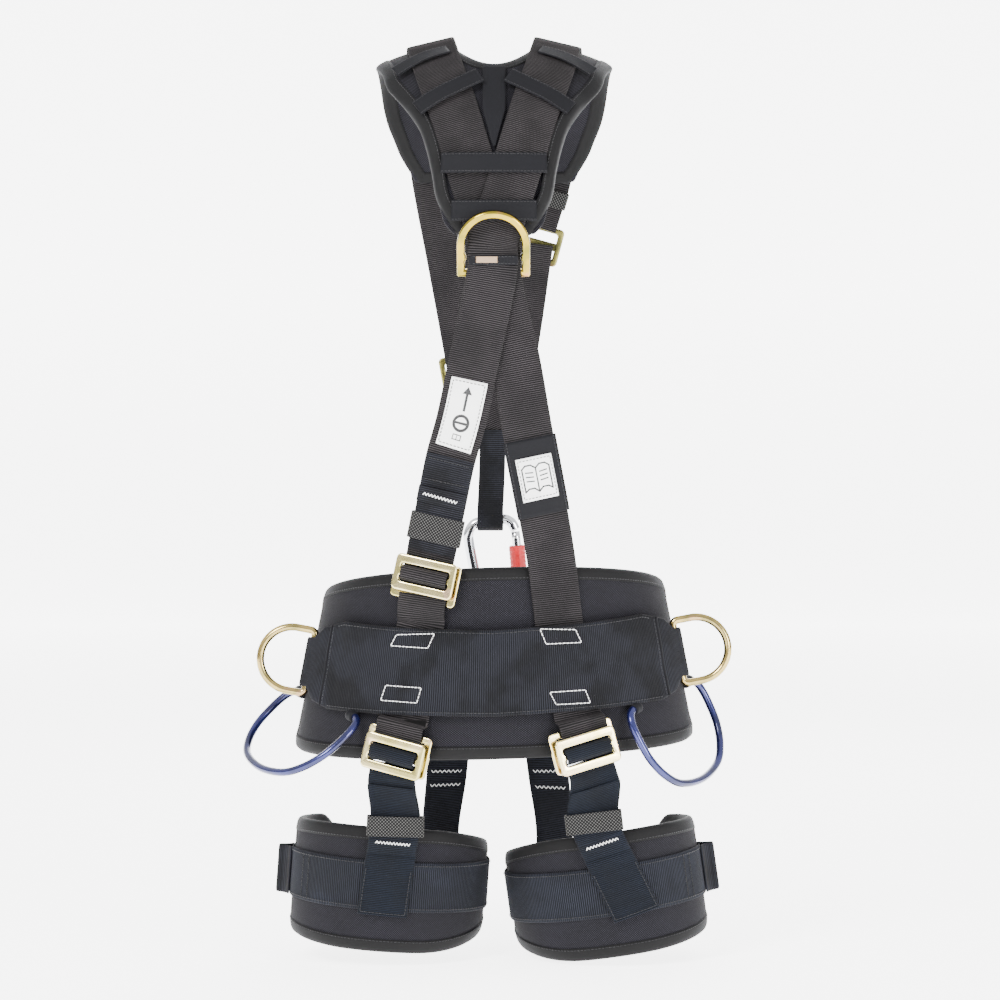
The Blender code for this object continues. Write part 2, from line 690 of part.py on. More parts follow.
def textile_loops():
    """Narrow webbing loops that hold the carabiner at its two ends."""
    outward = Vector((0, 1, 0))

    def loop(name, rows, width):
        stations = [(Vector((x, y, z)), outward) for x, y, z in rows]
        centres = smooth([tuple(p) for p, _ in stations], 2)
        points = [Vector(c) for c in centres]
        last = len(points) - 1

        def place(u, w):
            return points[round(u * last)] + Vector(((w - 0.5) * width, 0, 0))

        panel(name, place, last, 1, WEB_THICK, "webbing")

    top = CARABINER_TOP
    loop("chest_loop", [
        (-2, 121.3, 212), (-2, 121.5, 185), (-3, 123, 155), (-4, 125, 135),
        (-4, 124.8, 124.5), (-4, 122, 118), (-4, 115.5, 115.2), (-4, 109, 118), (-4, 106.2, 124.5),
        (-4, 106.2, 135), (-3, 108.5, 155), (-2, 110.4, 185), (-2, 110.4, 212),
    ], LOOP_WIDTH)
    foot = CARABINER_FOOT
    loop("ventral_loop", [
        (foot.x, 130.4, -22), (foot.x, 130.2, 0), (foot.x, 132, 12), (foot.x, 134.6, 20),
        (foot.x, 134.8, 30), (foot.x, 132, 37.5), (foot.x, 125, 40.5), (foot.x, 118, 37.5),
        (foot.x, 115.2, 30), (foot.x, 115.4, 20), (foot.x, 119, 8), (foot.x, 121.6, -4),
        (foot.x, 122.8, -22),
    ], LOOP_WIDTH - 6)


def carabiner():
    down = CARABINER_FOOT - CARABINER_TOP
    length = down.length
    down.normalize()
    across = Vector((1, 0, 0))
    across = (across - down * across.dot(down)).normalized()

    def at(u, w):
        return CARABINER_TOP + across * u + down * w

    hinge = at(18.8, length - 17)
    body_path = [
        (18.7, length - 14.5), (16.5, length - 7), (10, length - 1.6), (1, length), (-9, length - 2.4),
        (-16.5, length - 9), (-19.6, length - 20), (-21.6, length * 0.55), (-23.4, 20), (-22.3, 9),
        (-16.5, 1.8), (-8, 0), (6, 0), (15, 1.2), (20.5, 6), (22.6, 12.5),
    ]
    points = [at(u, w) for u, w in smooth(body_path, 2)]
    rod("carabiner_body", points, CARABINER_BAR, "bright_steel", False, CARABINER_TOP)
    gate_top = at(22.6, 14.2)
    rod("carabiner_gate", [at(18.9, length - 17.5), blend(hinge, gate_top, 0.5), gate_top],
        GATE_BAR, "bright_steel", False, hinge)
    axis = (hinge - gate_top).normalized()
    centre = at(22.6, 14.2) + axis * 14
    bm = bmesh.new()
    ring = [(SLEEVE_BORE, 0), (SLEEVE_RADIUS - 0.8, 0), (SLEEVE_RADIUS, 2), (SLEEVE_RADIUS, 30),
            (SLEEVE_RADIUS - 0.8, 32), (SLEEVE_BORE, 32)]
    verts = [bm.verts.new((r * MM, 0, -h * MM)) for r, h in ring]
    for a, b in zip(verts, verts[1:] + verts[:1]):
        bm.edges.new((a, b))
    mesh = bpy.data.meshes.new("carabiner_sleeve")
    bm.to_mesh(mesh)
    bm.free()
    sleeve = add_object("carabiner_sleeve", mesh, "red_plastic")
    screw = sleeve.modifiers.new("turn", "SCREW")
    screw.steps = screw.render_steps = 16
    screw.use_merge_vertices = True
    screw.merge_threshold = 0.0001
    side = across - axis * across.dot(axis)
    side.normalize()
    matrix = Matrix((side, (-axis).cross(side), -axis)).transposed().to_4x4()
    matrix.translation = centre * MM
    sleeve.matrix_world = matrix


# ---------------------------------------------------------------- leg loops
RISER_ROWS = {
    "left": [(-86.5, -93), (-88.5, -108), (-91, -130), (-92.3, -148), (-94, -168), (-97, -200), (-99, -229)],
    "right": [(82, -89), (86, -103), (92.5, -125), (98, -144), (104, -165), (115, -197), (126, -229)],
}
RISER_OUT = [(-229, 4.8), (-172, 4.8), (-150, 7.0), (-106, 10.8), (-90, 8.9)]


def riser_point(side, middle, z, offset, lift):
    """A point on a rear leg riser, offset across from its middle: flat above, wrapped on the leg below."""
    out = table(RISER_OUT, z) + lift
    data = LEGS[side]
    wrapped = smoothstep(160, 178, -z)

    def on_leg(x):
        share = (x - data["centre"].x) / (LEG_RADII[0] + out)
        angle = math.degrees(math.asin(max(-0.99, min(0.99, share)))) * data["sign"]
        height = z - data["centre"].z + share * math.radians(data["tilt"]) * LEG_RADII[0]
        return leg(side, angle, height, out)

    flat = on_leg(middle) + (on_leg(middle + 1) - on_leg(middle - 1)).normalized() * offset
    below = flat.lerp(on_leg(middle + offset), wrapped)
    across = (body(middle + 1, back(z)) - body(middle - 1, back(z))).normalized()
    above = torso(middle, back(z), out) + across * offset
    return above.lerp(below, smoothstep(104, 152, -z))


def riser_piece(name, side, start, end, width, lift, thick, finish, rows=8, cols=4):
    route = smooth(RISER_ROWS[side], 6)
    by_height = sorted((z, x) for x, z in route)
    slope = (table(by_height, end) - table(by_height, start)) / (end - start)
    across = Vector((1, -slope)).normalized()

    def place(u, w):
        offset_x, offset_z = across * (w - 0.5) * width
        z = blend(start, end, u)
        return riser_point(side, table(by_height, z), z + offset_z, offset_x, lift)

    return panel(name, place, rows, cols, thick, finish)


def leg_loop(side, sign):
    def pad_place(u, w):
        angle = blend(-138, 138, u)
        inner = smoothstep(20, 120, -angle)
        outer = smoothstep(20, 120, angle)
        end = 14 * max(0.0, (abs(angle) - 124) / 14) ** 2
        top = 54 - 16 * inner - 4 * outer - end
        bottom = -56 + 20 * inner + 8 * outer + end
        return leg(side, angle, blend(bottom, top, w), -LEG_PAD_THICK / 2)

    def band_place(u, w):
        return leg(side, 360 * u, 3 + (w - 0.5) * WEB_WIDTH, 1.6)

    panel("leg_pad_" + side, pad_place, 26, 4, LEG_PAD_THICK, "pad")
    panel("leg_band_" + side, band_place, 32, 1, WEB_THICK, "webbing", closed=True)
    tab = [
        (80, 4.0), (84, 5.0), (87.5, 9), (89, 13), (90.5, 14.2), (92, 13), (93.5, 9), (97, 5.0),
        (101, 4.0),
    ]

    def tab_place(u, w):
        angle, out = tab[round(u * (len(tab) - 1))]
        return leg(side, angle, 3 + (w - 0.5) * (WEB_WIDTH - 1), out)

    panel("leg_tab_" + side, tab_place, len(tab) - 1, 1, WEB_THICK, "webbing")
    riser_piece("leg_riser_" + side, side, -92 if side == "left" else -88, -229, WEB_WIDTH, 0, WEB_THICK,
                "webbing", 14)
    riser_piece("leg_tail_" + side, side, -112, -160, WEB_WIDTH - 1, 2.8, WEB_THICK, "webbing", 6)
    x, z = RISER_ROWS[side][3]
    point = riser_point(side, x, z, 0, 1.6)
    high = riser_point(side, x, z + 6, 0, 1.6)
    wide = riser_point(side, x, z, 6, 1.6)
    lean = Vector(RISER_ROWS[side][2]) - Vector(RISER_ROWS[side][4])
    up = (high - point) * lean.y + (wide - point) * lean.x
    keeper = local_frame(point, (wide - point).cross(high - point), up)
    strap_sleeve("leg_keeper_" + side, keeper, 48.8, 10.6, 1.3, 18, "elastic")
    x, z = (-86, -85.5) if side == "left" else (80, -81)
    upper = LOWER_STRAP if side == "left" else LEFT_STRAP
    base = torso(x, back(z), 0)
    matrix = local_frame(base, body_normal(x, back(z)), upper[-5][0] - upper[-1][0])
    buckle_plate("leg_buckle_plate_" + side, moved(matrix, out=PLATE_LAYER))
    buckle_frame("leg_buckle_frame_" + side, moved(matrix, out=FRAME_LAYER), 1)
    top, middle, low = (-41, -46, -51) if side == "left" else (45, 52, 57)
    route = [
        ((top, 131.8, 14), (0, 1, 0)), ((top, 132.5, -20), (0, 1, 0)), ((top + sign, 128, -60), (0, 1, 0)),
        ((middle, 97, -120), (-0.2 * sign, 0.95, 0)), ((low, 66, -165), (-0.4 * sign, 0.9, 0)),
        ((low, 54.5, -195), (-0.5 * sign, 0.87, 0)), ((low, 54, -225), (-0.5 * sign, 0.87, 0)),
    ]
    stations = [(Vector(p), Vector(n).normalized()) for p, n in route]
    ribbon("front_riser_" + side, stations, 40, WEB_THICK, "webbing", 3)


def main():
    shoulder_straps()
    yoke_pad()
    yoke_bands()
    dorsal_ring()
    dorsal_keeper()
    back_pieces()
    belt_pad()
    belt_band()
    for side, sign in (("left", -1), ("right", 1)):
        side_ring(side, sign)
        gear_ring(side, sign)
    belt_front()
    front_straps()
    chest_keeper()
    textile_loops()
    carabiner()
    for side, sign in (("left", -1), ("right", 1)):
        leg_loop(side, sign)


main()
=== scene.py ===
"""Looks for the tree climbing saddle: a full-body harness with a padded yoke, belt and leg loops.

The wearer faces +Y, the harness's back is towards -Y, and the origin is the centre of the waist.
Shapes are worked out in millimetres and become metres when a mesh is made.
"""
import bisect
import math

import bmesh
import bpy
from mathutils import Matrix, Vector, noise


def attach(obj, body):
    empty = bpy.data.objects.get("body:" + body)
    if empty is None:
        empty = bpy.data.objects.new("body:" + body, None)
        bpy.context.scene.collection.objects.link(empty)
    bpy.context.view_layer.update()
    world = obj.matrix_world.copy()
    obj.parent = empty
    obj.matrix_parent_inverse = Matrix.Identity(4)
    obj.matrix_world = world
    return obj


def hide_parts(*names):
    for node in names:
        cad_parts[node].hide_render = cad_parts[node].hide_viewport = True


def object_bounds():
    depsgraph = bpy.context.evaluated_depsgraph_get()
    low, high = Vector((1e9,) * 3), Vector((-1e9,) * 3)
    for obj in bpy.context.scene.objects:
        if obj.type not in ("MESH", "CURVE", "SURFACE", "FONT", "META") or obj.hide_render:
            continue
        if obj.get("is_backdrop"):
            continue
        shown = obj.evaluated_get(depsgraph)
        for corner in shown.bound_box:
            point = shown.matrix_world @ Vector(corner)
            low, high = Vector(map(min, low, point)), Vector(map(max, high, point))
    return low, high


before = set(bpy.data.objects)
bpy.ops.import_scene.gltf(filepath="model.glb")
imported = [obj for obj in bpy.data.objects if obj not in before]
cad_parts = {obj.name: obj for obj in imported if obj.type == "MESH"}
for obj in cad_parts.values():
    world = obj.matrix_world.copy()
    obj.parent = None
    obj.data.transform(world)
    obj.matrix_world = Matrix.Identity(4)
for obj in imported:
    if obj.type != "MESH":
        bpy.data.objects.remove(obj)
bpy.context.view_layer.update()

MM = 0.001
ROOT = "harness"
RIB_PITCH = 1.9
RIB_HEIGHT = 0.2
WEB_WIDTH = 45.0
WEB_THICK = 2.0
LOOP_WIDTH = 25.0
BAND_THICK = 1.2
BAND_LAYER = 17.0
SCENE = bpy.context.scene


# ---------------------------------------------------------------- camera and light
def camera():
    data = bpy.data.cameras.new("camera")
    data.lens = 115.6
    data.sensor_width = 36.0
    obj = bpy.data.objects.new("camera", data)
    obj.location = (0.0054, -3.0, 0.144)
    obj.rotation_euler = (math.radians(90), 0, 0)
    SCENE.collection.objects.link(obj)
    SCENE.camera = obj


def area_light(name, place, target, size, watts):
    data = bpy.data.lights.new(name, "AREA")
    data.shape = "DISK"
    data.size = size
    data.energy = watts
    obj = bpy.data.objects.new(name, data)
    obj.location = place
    toward = Vector(target) - Vector(place)
    obj.rotation_euler = toward.to_track_quat("-Z", "Y").to_euler()
    SCENE.collection.objects.link(obj)


def studio():
    world = bpy.data.worlds.new("studio")
    world.use_nodes = True
    nodes, links = world.node_tree.nodes, world.node_tree.links
    background = nodes["Background"]
    where = nodes.new("ShaderNodeTexCoord")
    split = nodes.new("ShaderNodeSeparateXYZ")
    sky = nodes.new("ShaderNodeMapRange")
    sky.interpolation_type = "SMOOTHSTEP"
    sky.inputs["From Min"].default_value = -0.3
    sky.inputs["From Max"].default_value = 0.55
    sky.inputs["To Min"].default_value = 0.12
    sky.inputs["To Max"].default_value = 1.7
    links.new(where.outputs["Generated"], split.inputs[0])
    links.new(split.outputs["Z"], sky.inputs["Value"])
    links.new(sky.outputs["Result"], background.inputs["Strength"])
    background.inputs["Color"].default_value = (1.0, 1.0, 1.0, 1)
    SCENE.world = world
    area_light("key", (-1.5, -2.4, 1.9), (0, 0, 0.1), 1.1, 120)
    area_light("fill", (1.9, -2.2, 0.5), (0, 0, 0.1), 1.0, 70)
    area_light("back", (0.4, 2.2, 1.8), (0, 0, 0.2), 1.8, 40)
    floor_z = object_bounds()[0][2] - 0.004
    reach, rise, corner = 9.0, 6.0, 1.2
    rows = [(-reach, 0.0), (reach - corner, 0.0)]
    for k in range(1, 9):
        turn = math.radians(90 * k / 8)
        rows.append((reach - corner + corner * math.sin(turn), corner - corner * math.cos(turn)))
    rows.append((reach, rise))
    verts = [(x, y, floor_z + z) for y, z in rows for x in (-reach, reach)]
    faces = [(2 * i, 2 * i + 1, 2 * i + 3, 2 * i + 2) for i in range(len(rows) - 1)]
    mesh = bpy.data.meshes.new("floor")
    mesh.from_pydata(verts, [], faces)
    mesh.polygons.foreach_set("use_smooth", [True] * len(mesh.polygons))
    pale = bpy.data.materials.new("floor_pale")
    pale.use_nodes = True
    shader = pale.node_tree.nodes["Principled BSDF"]
    shader.inputs["Base Color"].default_value = (0.93, 0.93, 0.93, 1)
    shader.inputs["Roughness"].default_value = 0.9
    shader.inputs["Specular IOR Level"].default_value = 0.1
    shader.inputs["Emission Color"].default_value = (1, 1, 1, 1)
    shader.inputs["Emission Strength"].default_value = 4.0
    mesh.materials.append(pale)
    obj = bpy.data.objects.new("floor", mesh)
    SCENE.collection.objects.link(obj)
    obj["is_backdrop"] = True


# ---------------------------------------------------------------- materials
class Nodes:
    """Small helper for writing a node material as sums."""

    def __init__(self, name, colour, roughness, metallic=0.0):
        self.material = bpy.data.materials.new(name)
        self.material.use_nodes = True
        self.tree = self.material.node_tree
        self.shader = self.tree.nodes["Principled BSDF"]
        self.set("Base Color", (*colour, 1))
        self.set("Roughness", roughness)
        self.set("Metallic", metallic)

    def set(self, socket, value):
        self.shader.inputs[socket].default_value = value

    def put(self, source, target):
        if hasattr(source, "is_linked"):
            self.tree.links.new(source, target)
        else:
            target.default_value = source

    def math(self, operation, a, b=0.0, c=0.0):
        node = self.tree.nodes.new("ShaderNodeMath")
        node.operation = operation
        for value, socket in zip((a, b, c), node.inputs):
            self.put(value, socket)
        return node.outputs[0]

    def weave(self):
        """Distance across and along the cloth, in millimetres."""
        node = self.tree.nodes.new("ShaderNodeUVMap")
        node.uv_map = "weave"
        split = self.tree.nodes.new("ShaderNodeSeparateXYZ")
        self.tree.links.new(node.outputs[0], split.inputs[0])
        return tuple(self.math("MULTIPLY", split.outputs[k], 1000.0) for k in (0, 1))

    def wave(self, distance, pitch):
        """1 on each crest and 0 in each valley."""
        turn = self.math("MULTIPLY", distance, 2 * math.pi / pitch)
        return self.math("MULTIPLY_ADD", self.math("COSINE", turn), 0.5, 0.5)

    def noise(self, scale, detail=3.0, stretch=(1, 1, 1)):
        where = self.tree.nodes.new("ShaderNodeTexCoord")
        mapping = self.tree.nodes.new("ShaderNodeMapping")
        mapping.inputs["Scale"].default_value = stretch
        node = self.tree.nodes.new("ShaderNodeTexNoise")
        node.inputs["Scale"].default_value = scale
        node.inputs["Detail"].default_value = detail
        self.tree.links.new(where.outputs["Object"], mapping.inputs[0])
        self.tree.links.new(mapping.outputs[0], node.inputs["Vector"])
        return node.outputs["Fac"]

    def ramp(self, value, low, high):
        """0 below low, 1 above high."""
        node = self.tree.nodes.new("ShaderNodeMapRange")
        node.interpolation_type = "SMOOTHSTEP"
        self.put(value, node.inputs["Value"])
        node.inputs["From Min"].default_value = low
        node.inputs["From Max"].default_value = high
        return node.outputs["Result"]

    def mix(self, factor, a, b):
        node = self.tree.nodes.new("ShaderNodeMix")
        node.data_type = "RGBA"
        self.put(factor, node.inputs["Factor"])
        for value, socket in ((a, node.inputs[6]), (b, node.inputs[7])):
            self.put((*value, 1) if isinstance(value, tuple) else value, socket)
        return node.outputs[2]

    def colour(self, value):
        self.put(value, self.shader.inputs["Base Color"])

    def roughness(self, low, high, by):
        self.put(self.math("MULTIPLY_ADD", by, high - low, low), self.shader.inputs["Roughness"])

    def bump(self, height, millimetres, strength=1.0):
        node = self.tree.nodes.new("ShaderNodeBump")
        node.inputs["Strength"].default_value = strength
        node.inputs["Distance"].default_value = millimetres * MM
        self.tree.links.new(height, node.inputs["Height"])
        self.tree.links.new(node.outputs[0], self.shader.inputs["Normal"])


def cloth_sheen(n, weight, tint=(0.6, 0.56, 0.52)):
    n.set("Sheen Weight", weight)
    n.set("Sheen Roughness", 0.5)
    n.set("Sheen Tint", (*tint, 1))
    n.set("Specular IOR Level", 0.12)


def ribbed(name, crest, valley, pitch=RIB_PITCH, yarn=0.8, strength=0.8, shade_patch_depth=0.5):
    """Webbing: cross ribs of slanted yarns, under soft patches of painted light and shade."""
    n = Nodes(name, crest, 0.78)
    across, along = n.weave()
    rib = n.wave(along, pitch)
    slant = n.math("MULTIPLY_ADD", along, 0.55, across)
    twist = n.wave(slant, yarn)
    patch_noise = n.noise(26.0, 4.0)
    fine = n.noise(900.0, 2.0)
    crown = n.math("POWER", rib, 1.7)
    lit = n.math("MULTIPLY", crown, n.math("MULTIPLY_ADD", twist, 0.45, 0.6))
    # Painted light and shade: soft brighter and darker patches from the large noise, standing in for the
    # shading of small wrinkles; the same noise also varies the roughness.
    shade_patches = n.ramp(patch_noise, 0.36, 0.64)
    lit = n.math("MULTIPLY", lit, n.math("MULTIPLY_ADD", shade_patches, shade_patch_depth, 1 - shade_patch_depth / 2))
    lit = n.math("MULTIPLY", lit, n.math("MULTIPLY_ADD", fine, 0.6, 0.7))
    n.colour(n.mix(lit, valley, crest))
    n.roughness(0.62, 0.9, patch_noise)
    height = n.math("ADD", rib, n.math("MULTIPLY", twist, 0.5))
    n.bump(height, 0.3, strength)
    cloth_sheen(n, 0.025)
    return n.material


def smooth_tape(name, colour, dark):
    """Flat woven tape: a fine herringbone with a soft shine."""
    n = Nodes(name, colour, 0.6)
    across, along = n.weave()
    fold = n.math("ABSOLUTE", n.math("SUBTRACT", n.math("FRACT", n.math("DIVIDE", across, 5.0)), 0.5))
    slant = n.math("MULTIPLY_ADD", fold, 5.0, along)
    twill = n.wave(slant, 1.1)
    patch_noise = n.noise(30.0, 4.0)
    lit = n.math("MULTIPLY", twill, n.math("MULTIPLY_ADD", patch_noise, 0.9, 0.4))
    n.colour(n.mix(lit, dark, colour))
    n.roughness(0.5, 0.8, patch_noise)
    n.bump(twill, 0.1, 0.5)
    cloth_sheen(n, 0.03, (0.5, 0.52, 0.6))
    return n.material


def spacer_mesh(name, thread, hole, pitch):
    """Padded mesh fabric: rows of small holes between raised threads."""
    n = Nodes(name, thread, 0.85)
    across, along = n.weave()
    columns = n.wave(across, pitch)
    rows = n.wave(along, pitch)
    shifted = n.wave(n.math("ADD", across, pitch / 2), pitch)
    half = n.wave(n.math("ADD", along, pitch / 2), pitch)
    dots = n.math("MAXIMUM", n.math("MULTIPLY", columns, rows), n.math("MULTIPLY", shifted, half))
    pit = n.ramp(dots, 0.35, 0.8)
    patch_noise = n.noise(24.0, 4.0)
    fine = n.noise(700.0, 2.0)
    lit = n.math("MULTIPLY", pit, n.math("MULTIPLY_ADD", patch_noise, 0.9, 0.45))
    lit = n.math("MULTIPLY", lit, n.math("MULTIPLY_ADD", fine, 0.9, 0.5))
    n.colour(n.mix(lit, hole, thread))
    n.roughness(0.7, 0.95, patch_noise)
    n.bump(pit, 0.3, 0.6)
    cloth_sheen(n, 0.02)
    return n.material


def patterned_elastic(name, light, dark):
    n = Nodes(name, light, 0.8)
    across, along = n.weave()
    one = n.wave(n.math("ADD", across, along), 3.0)
    two = n.wave(n.math("SUBTRACT", across, along), 3.0)
    spots = n.ramp(n.math("MULTIPLY", one, two), 0.18, 0.42)
    fine = n.noise(800.0, 2.0)
    lit = n.math("MULTIPLY", spots, n.math("MULTIPLY_ADD", fine, 0.8, 0.6))
    n.colour(n.mix(lit, dark, light))
    n.bump(n.math("ADD", spots, n.wave(along, 1.2)), 0.16, 0.5)
    cloth_sheen(n, 0.1)
    return n.material


def label_cloth(name, colour):
    n = Nodes(name, colour, 0.6)
    across, along = n.weave()
    weave = n.math("MULTIPLY", n.wave(across, 0.7), n.wave(along, 0.7))
    stain = n.noise(60.0, 4.0)
    shade = tuple(0.8 * c for c in colour)
    n.colour(n.mix(n.math("MULTIPLY_ADD", stain, 0.8, -0.15), colour, shade))
    n.bump(weave, 0.05, 0.4)
    return n.material


def thread(name, colour):
    n = Nodes(name, colour, 0.65)
    patch_noise = n.noise(300.0, 3.0)
    n.colour(n.mix(patch_noise, colour, tuple(0.65 * c for c in colour)))
    cloth_sheen(n, 0.15, (1, 1, 1))
    return n.material


def plated(name, colour, other, third, rough, grain=0.15):
    """Zinc plating: soft patches of interference colour over fine polishing marks."""
    n = Nodes(name, colour, rough, 1.0)
    patches = n.noise(34.0, 4.0)
    shift = n.noise(75.0, 2.0)
    base = n.mix(n.ramp(patches, 0.42, 0.68), colour, other)
    n.colour(n.mix(n.ramp(shift, 0.58, 0.74), base, third))
    marks = n.noise(240.0, 5.0, (1, 1, 5))
    n.roughness(rough * 0.75, rough * 1.5, marks)
    n.bump(n.noise(420.0, 4.0), 0.05, grain)
    return n.material


def glossy(name, colour, deep, rough, metallic, coat):
    n = Nodes(name, colour, rough, metallic)
    n.colour(n.mix(n.ramp(n.noise(40.0, 3.0), 0.35, 0.7), colour, deep))
    n.roughness(rough * 0.8, rough * 1.4, n.noise(260.0, 4.0))
    n.set("Coat Weight", coat)
    n.set("Coat Roughness", 0.08)
    n.bump(n.noise(300.0, 3.0), 0.03, 0.15)
    return n.material


MATERIALS = {
    "webbing": ribbed("webbing", (0.037, 0.033, 0.035), (0.0003, 0.0003, 0.0004)),
    "cool_webbing": ribbed("cool_webbing", (0.021, 0.024, 0.035), (0.0003, 0.0003, 0.0005)),
    # The wide band's webbing gets the strongest patches of painted light and shade, standing in for its
    # wrinkles' shading.
    "blue_webbing": ribbed("blue_webbing", (0.015, 0.016, 0.022), (0.0003, 0.0003, 0.0005),
                           strength=0.5, shade_patch_depth=1.1),
    "tail": ribbed("tail", (0.0070, 0.0105, 0.019), (0.0006, 0.0008, 0.0014), pitch=1.6, yarn=0.7),
    "smooth_band": smooth_tape("smooth_band", (0.0062, 0.0062, 0.0082), (0.0014, 0.0014, 0.0020)),
    "edging": smooth_tape("edging", (0.0075, 0.0072, 0.0074), (0.0014, 0.0014, 0.0016)),
    "pad": spacer_mesh("pad", (0.026, 0.025, 0.033), (0.0003, 0.0003, 0.0005), 2.0),
    "elastic": patterned_elastic("elastic", (0.060, 0.060, 0.058), (0.0006, 0.0006, 0.001)),
    "label": label_cloth("label", (0.93, 0.93, 0.92)),
    "print": label_cloth("print", (0.015, 0.015, 0.016)),
    "tan": label_cloth("tan", (0.30, 0.20, 0.12)),
    "white_thread": thread("white_thread", (0.95, 0.95, 0.94)),
    "black_thread": thread("black_thread", (0.016, 0.016, 0.018)),
    "gold_steel": plated("gold_steel", (0.46, 0.32, 0.035), (0.20, 0.18, 0.025),
                         (0.46, 0.22, 0.10), 0.15, 0.06),
    "olive_steel": plated("olive_steel", (0.20, 0.18, 0.055), (0.09, 0.09, 0.035),
                          (0.22, 0.15, 0.07), 0.26, 0.06),
    "side_steel": plated("side_steel", (0.44, 0.33, 0.12), (0.17, 0.15, 0.06), (0.42, 0.28, 0.14), 0.16),
    "pale_steel": plated("pale_steel", (0.80, 0.68, 0.36), (0.58, 0.50, 0.17),
                         (0.82, 0.60, 0.38), 0.16, 0.05),
    "blue_alloy": glossy("blue_alloy", (0.016, 0.020, 0.115), (0.006, 0.008, 0.05), 0.2, 0.75, 0.6),
    "bright_steel": glossy("bright_steel", (0.78, 0.79, 0.81), (0.60, 0.62, 0.66), 0.12, 1.0, 0.0),
    "red_plastic": glossy("red_plastic", (0.52, 0.004, 0.008), (0.38, 0.002, 0.004), 0.45, 0.0, 0.0),
}
SLOTS = {
    "blue_webbing": "webbing", "tail": "webbing", "edging": "smooth_band", "print": "smooth_band",
    "tan": "label", "olive_steel": "gold_steel", "cool_webbing": "webbing", "white_thread": "label",
    "black_thread": "smooth_band", "side_steel": "gold_steel",
}


# ---------------------------------------------------------------- small maths
def blend(a, b, t):
    return a + (b - a) * t


def smoothstep(low, high, x):
    t = min(1.0, max(0.0, (x - low) / (high - low)))
    return t * t * (3 - 2 * t)


def table(rows, x):
    """Straight-line reading of a table of (x, value) rows."""
    i = bisect.bisect_left(rows, x, key=lambda row: row[0])
    if i == 0:
        return rows[0][1]
    if i == len(rows):
        return rows[-1][1]
    (x0, y0), (x1, y1) = rows[i - 1], rows[i]
    return blend(y0, y1, (x - x0) / (x1 - x0)) if x1 > x0 else y1


def smooth(points, per_span):
    """A Catmull-Rom curve through points of any dimension."""
    if len(points) < 2:
        return list(points)
    first = [2 * a - b for a, b in zip(points[0], points[1])]
    last = [2 * a - b for a, b in zip(points[-1], points[-2])]
    keys = [first, *points, last]
    out = []
    for i in range(len(points) - 1):
        p0, p1, p2, p3 = keys[i:i + 4]
        for k in range(per_span):
            t = k / per_span
            out.append(tuple(
                0.5 * (2 * b + (c - a) * t + (2 * a - 5 * b + 4 * c - d) * t * t
                       + (3 * b - a - 3 * c + d) * t ** 3)
                for a, b, c, d in zip(p0, p1, p2, p3)
            ))
    out.append(tuple(points[-1]))
    return out


def running(points):
    """Distance along a line at each of its points."""
    lengths = [0.0]
    for a, b in zip(points, points[1:]):
        lengths.append(lengths[-1] + math.dist(a, b))
    return lengths


def locate(lengths, where):
    """Which span a distance falls in, and its share of the way along that span."""
    i = min(len(lengths) - 2, max(0, bisect.bisect_right(lengths, where) - 1))
    span = lengths[i + 1] - lengths[i]
    return i, (where - lengths[i]) / span if span else 0.0


# ---------------------------------------------------------------- the body's surfaces
PROFILE = [
    (-122, -260), (-124, -160), (-130.7, -90), (-124, 0), (-118, 80), (-122, 180), (-128, 280),
    (-131, 350), (-128, 410), (-117, 460), (-96, 505), (-60, 545), (-5, 566), (32, 556),
    (62, 530), (84, 485), (98, 430), (109, 340), (113, 260), (113, 190),
]
HALF_WIDTHS = [(-150, 202), (-90, 189.5), (80, 155.5), (200, 190), (300, 200)]
SHOULDER_SLOPE = 0.0021
BELT_HALF_WIDTH = 171.5
BELT_WIDTH_TAPER = 0.2
BELT_HALF_DEPTH = 124.0
BELT_DEPTH_TAPER = 0.075
BELT_ROLL = 0.028
LEGS = {
    "left": {"centre": Vector((-97.0, -28.0, -206.0)), "tilt": 4.0, "sign": -1},
    "right": {"centre": Vector((103.0, -28.0, -211.0)), "tilt": -8.0, "sign": 1},
}
LEG_RADII = (89.0, 86.0)

PROFILE_LINE = smooth(PROFILE, 20)
PROFILE_LENGTHS = running(PROFILE_LINE)
RIDGE = max(range(len(PROFILE_LINE)), key=lambda i: PROFILE_LINE[i][1])
BACK_TABLE = [(PROFILE_LINE[i][1], PROFILE_LENGTHS[i]) for i in range(RIDGE + 1)]
FRONT_TABLE = [(PROFILE_LINE[i][1], PROFILE_LENGTHS[i])
               for i in range(len(PROFILE_LINE) - 1, RIDGE - 1, -1)]
Y_TABLE = [(s, p[0]) for s, p in zip(PROFILE_LENGTHS, PROFILE_LINE)]
Z_TABLE = [(s, p[1]) for s, p in zip(PROFILE_LENGTHS, PROFILE_LINE)]


def back(z):
    """Distance along the profile of a height on the back."""
    return table(BACK_TABLE, z)


def front(z):
    """Distance along the profile of a height on the chest."""
    return table(FRONT_TABLE, z)


def body(x, s):
    y = table(Y_TABLE, s)
    z = table(Z_TABLE, s)
    oval = math.sqrt(1 - (x / table(HALF_WIDTHS, z)) ** 2)
    drop = SHOULDER_SLOPE * x * x * smoothstep(430, 540, z)
    return Vector((x, y * oval, z - drop))


def body_normal(x, s):
    across = body(x + 2, s) - body(x - 2, s)
    along = body(x, s + 2) - body(x, s - 2)
    return across.cross(along).normalized()


def torso(x, s, out):
    return body(x, s) + body_normal(x, s) * out


def belt(angle, z, out):
    """A point on the belt: angle in degrees from the back, positive to +X."""
    turn = math.radians(angle)
    x = (BELT_HALF_WIDTH - BELT_WIDTH_TAPER * z) * math.sin(turn)
    y = -(BELT_HALF_DEPTH - BELT_DEPTH_TAPER * z) * math.cos(turn)
    return Vector((x, y, z + BELT_ROLL * x)) + belt_normal(angle, z) * out


